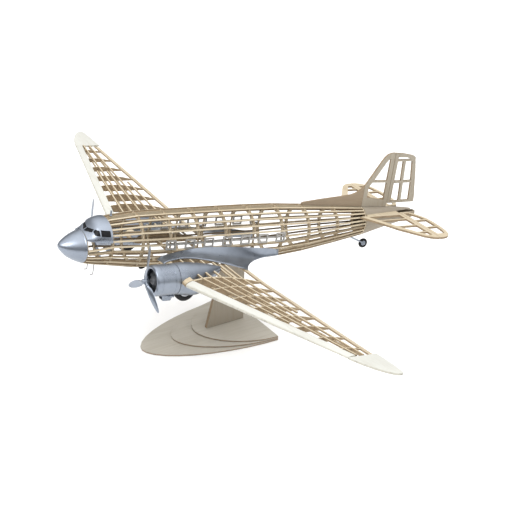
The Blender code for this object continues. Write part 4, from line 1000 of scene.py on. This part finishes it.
    def propeller(self, side: str, sign: int, finishes: Finishes) -> None:
        """Three blades in collars on a domed hub with a bore for the shaft."""
        hub = Bench.turned(self.hub_rows, 36, End.POINT, End.POINT)
        collar = Bench.turned(self.collar_rows, 24, End.FLAT, End.FLAT)
        Bench.place(collar, (0, 0, 0), (90, 0, 0))
        collars = Bench.around(collar, self.blades)
        blades = Bench.around(self.blade(), self.blades)
        piece = Bench.join([hub, collars, blades])
        Bench.place(piece, self.centre(sign) + Vector((0, self.prop_station, 0)) * MM)
        body = f"propeller_{side}"
        Bench.hand_in(piece, f"airscrew_{side}", finishes.silver, [body], angle=40, body=body)


# ================================================================ wheels
@dataclass
class Wheels:
    """Main wheels in the nacelles and the tail wheel on its leg."""

    station: float = 152.5
    height: float = -40.5
    across: float = 88.0
    tyre: float = 16.0
    width: float = 11.0
    rim: float = 8.4
    tail: tuple[float, float] = (518.0, -35.0)
    tail_tyre: float = 7.6

    def build(self, finishes: Finishes) -> None:
        """Build all three wheels."""
        for side, sign in SIDES:
            self.main(side, sign, finishes)
        dress(finishes.wire, "main_gear_fork_left", "main_gear_fork_right")
        self.tail_wheel(finishes)

    def tyre_shape(self, half: float, radius: float, bead: float,
                   grooves: Sequence[float]) -> Piece:
        """Return a round shouldered tyre with grooves round its tread."""
        wall = [(-half + 1.4, bead), (-half + 0.5, bead + 1.2), (-half, radius * 0.74),
                (-half * 0.92, radius * 0.83), (-half * 0.72, radius * 0.92)]
        rows = list(wall)
        for groove in grooves:
            crown = radius * (1 - 0.075 * (groove / half) ** 2)
            rows += [(groove - 0.45, crown), (groove - 0.3, crown - 0.6), (groove + 0.3, crown - 0.6),
                     (groove + 0.45, crown)]
        rows += [(-along, height) for along, height in reversed(wall)]
        return Bench.turned(rows, 64, wrap=True)

    def main(self, side: str, sign: int, finishes: Finishes) -> None:
        """One main wheel: grooved tyre and dished hub with bolts."""
        half = self.width / 2
        place = Vector((sign * self.across, self.station, self.height)) * MM
        body = f"main_wheel_{side}"
        tyre = self.tyre_shape(half, self.tyre, self.rim + 0.3, (-2.2, 0.0, 2.2))
        Bench.place(tyre, place, (0, 0, 90))
        Bench.hand_in(tyre, f"grooved_tyre_{side}", finishes.rubber, [f"main_tyre_{side}"],
                      angle=40, body=body)
        rim, bore = half - 1.6, 1.3
        rows = [(-rim, bore), (-rim - 0.5, 2.0), (-rim - 0.5, 3.2), (-rim + 0.7, 3.8), (-rim + 1.0, 6.2),
                (-rim + 0.2, 7.2), (-rim, 7.6), (-rim, self.rim)]
        rows += [(-along, radius) for along, radius in reversed(rows)]
        hub = Bench.turned(rows, 48, wrap=True)
        parts = [hub]
        for end in (-1, 1):
            bolt = Bench.turned([(-0.3, 0.55), (0.5, 0.55), (0.7, 0.05)], 6, End.FLAT, End.POINT)
            bolt = Bench.place(bolt, (0, 0, 0), (0, 0, 180 if end < 0 else 0))
            bolt = Bench.place(bolt, Vector((0, end * (rim - 0.9), 5.0)) * MM)
            parts.append(Bench.around(bolt, 6))
        piece = Bench.place(Bench.join(parts), place, (0, 0, 90))
        Bench.hand_in(piece, f"dished_hub_{side}", finishes.bright, [f"main_wheel_hub_{side}"],
                      angle=35, body=body)

    def tail_wheel(self, finishes: Finishes) -> None:
        """Tail wheel with its small hub, and the bent leg that holds it."""
        half = 2.6
        place = Vector((0, *self.tail)) * MM
        tyre = self.tyre_shape(half, self.tail_tyre, 3.9, (0.0,))
        Bench.place(tyre, place, (0, 0, 90))
        Bench.hand_in(tyre, "tail_tyre", finishes.rubber, ["tail_wheel"], angle=40, body="tail_wheel")
        rows = [(-1.6, 0.9), (-2.2, 1.2), (-2.2, 1.9), (-1.3, 2.3), (-1.2, 3.5), (-1.6, 3.85), (-1.3, 4.1)]
        rows += [(-along, radius) for along, radius in reversed(rows)]
        hub = Bench.turned(rows, 36, wrap=True)
        Bench.place(hub, place, (0, 0, 90))
        Bench.hand_in(hub, "tail_hub", finishes.silver, angle=35, body="tail_wheel")
        leg = Bench.copy_node("tail_wheel_leg")
        Bench.modify(leg, "BEVEL", width=0.25 * MM, segments=2, limit_method="ANGLE",
                     angle_limit=math.radians(25))
        Bench.smooth(leg, 50)
        Bench.hand_in(leg, "tail_leg_wire", finishes.silver, ["tail_wheel_leg"])


# ================================================================ stand
@dataclass
class Stand:
    """Three stacked plywood layers and the pylon."""

    edge: float = 0.25

    def build(self, finishes: Finishes) -> None:
        """Replace each board by a copy with eased edges."""
        for name in ("base_lower", "base_middle", "base_upper", "pylon"):
            node = f"stand_{name}"
            piece = Bench.copy_node(node)
            Bench.modify(piece, "BEVEL", width=self.edge * MM, segments=2, limit_method="ANGLE",
                         angle_limit=math.radians(40))
            Bench.smooth(piece, 25)
            finish = finishes.pylon if name == "pylon" else finishes.stand
            Bench.hand_in(piece, f"{name}_board", finish, [node], body="stand")


# ================================================================ studio
@dataclass
class Studio:
    """Pale floor, soft light and the camera."""

    eye: Sequence[float] = (1487.23, -894.97, 977.58)
    right: Sequence[float] = (0.51347, 0.85811, 0.0)
    up: Sequence[float] = (-0.37049, 0.22169, 0.90199)
    back: Sequence[float] = (0.77400, -0.46315, 0.43175)
    lens: float = 93.05
    shift: tuple[float, float] = (0.01477, -0.0472)
    horizon: float = 0.12
    zenith: float = 2.25
    aim: tuple[float, float, float] = (0, 0, 0.1)
    lamps: Sequence[tuple] = (("key", (0.5, -2.2, 2.6), 1.6, 42.0), ("fill", (2.6, 0.9, 1.4), 2.0, 12.0))
    floor_size: float = 30.0
    floor_gap: float = 0.4

    def build(self) -> None:
        """Set up floor, light and camera."""
        self.floor()
        self.light()
        self.camera()

    def floor(self) -> None:
        """Large pale floor with a slightly uneven sheen."""
        Bench.clear()
        bpy.ops.mesh.primitive_plane_add(size=self.floor_size, location=(0, 0, -self.floor_gap * MM))
        floor = bpy.context.object
        floor.name = "floor"
        shader = Shader("floor_paper")
        place = shader.node("TexCoord").outputs["Object"]
        colour = shader.blend(shader.noise(place, 3.0, 2), (0.93, 0.93, 0.93), (0.95, 0.95, 0.95))
        floor.data.materials.append(shader.finish(colour, 0.9, shader.noise(place, 900.0, 2), 0.02 * MM))

    def light(self) -> None:
        """Surroundings bright above and dim at the sides, a soft lamp at the front left and a fill."""
        world = bpy.data.worlds.new("studio")
        world.use_nodes = True
        tree = world.node_tree
        background = tree.nodes["Background"]
        background.inputs["Color"].default_value = (1.0, 1.0, 1.0, 1.0)
        coords = tree.nodes.new("ShaderNodeTexCoord")
        height = tree.nodes.new("ShaderNodeSeparateXYZ")
        strength = tree.nodes.new("ShaderNodeMapRange")
        for name, value in (("From Min", 0.25), ("From Max", 0.95),
                            ("To Min", self.horizon), ("To Max", self.zenith)):
            strength.inputs[name].default_value = value
        tree.links.new(coords.outputs["Generated"], height.inputs["Vector"])
        tree.links.new(height.outputs["Z"], strength.inputs["Value"])
        rays = tree.nodes.new("ShaderNodeLightPath")
        seen = tree.nodes.new("ShaderNodeMath")
        seen.operation = "MAXIMUM"
        tree.links.new(rays.outputs["Is Camera Ray"], seen.inputs[0])
        tree.links.new(strength.outputs["Result"], seen.inputs[1])
        tree.links.new(seen.outputs["Value"], background.inputs["Strength"])
        bpy.context.scene.world = world
        bpy.context.scene.view_settings.view_transform = "Standard"
        for name, place, size, power in self.lamps:
            lamp = bpy.data.lights.new(name, "AREA")
            lamp.size = size
            lamp.energy = power
            holder = bpy.data.objects.new(name, lamp)
            holder.location = place
            aim = Vector(self.aim) - Vector(place)
            holder.rotation_euler = aim.to_track_quat("-Z", "Y").to_euler()
            bpy.context.scene.collection.objects.link(holder)

    def camera(self) -> None:
        """Camera at the front left, looking a little down."""
        lens = bpy.data.cameras.new("camera")
        lens.lens = self.lens
        lens.sensor_width = 36
        lens.shift_x, lens.shift_y = self.shift
        lens.clip_end = 100
        holder = bpy.data.objects.new("camera", lens)
        turn = Matrix((self.right, self.up, self.back)).transposed()
        holder.matrix_world = Matrix.Translation(Vector(self.eye) * MM) @ turn.to_4x4()
        bpy.context.scene.collection.objects.link(holder)
        bpy.context.scene.camera = holder


def main() -> None:
    """Build every sub-assembly in order."""
    logging.basicConfig(level=logging.INFO, format="%(name)s: %(message)s")
    finishes = Finishes()
    for part in (Body(), Surfaces(), Engine(), Wheels(), Stand()):
        part.build(finishes)
    Studio().build()
    Bench.clear()


if __name__ == "__main__":
    main()
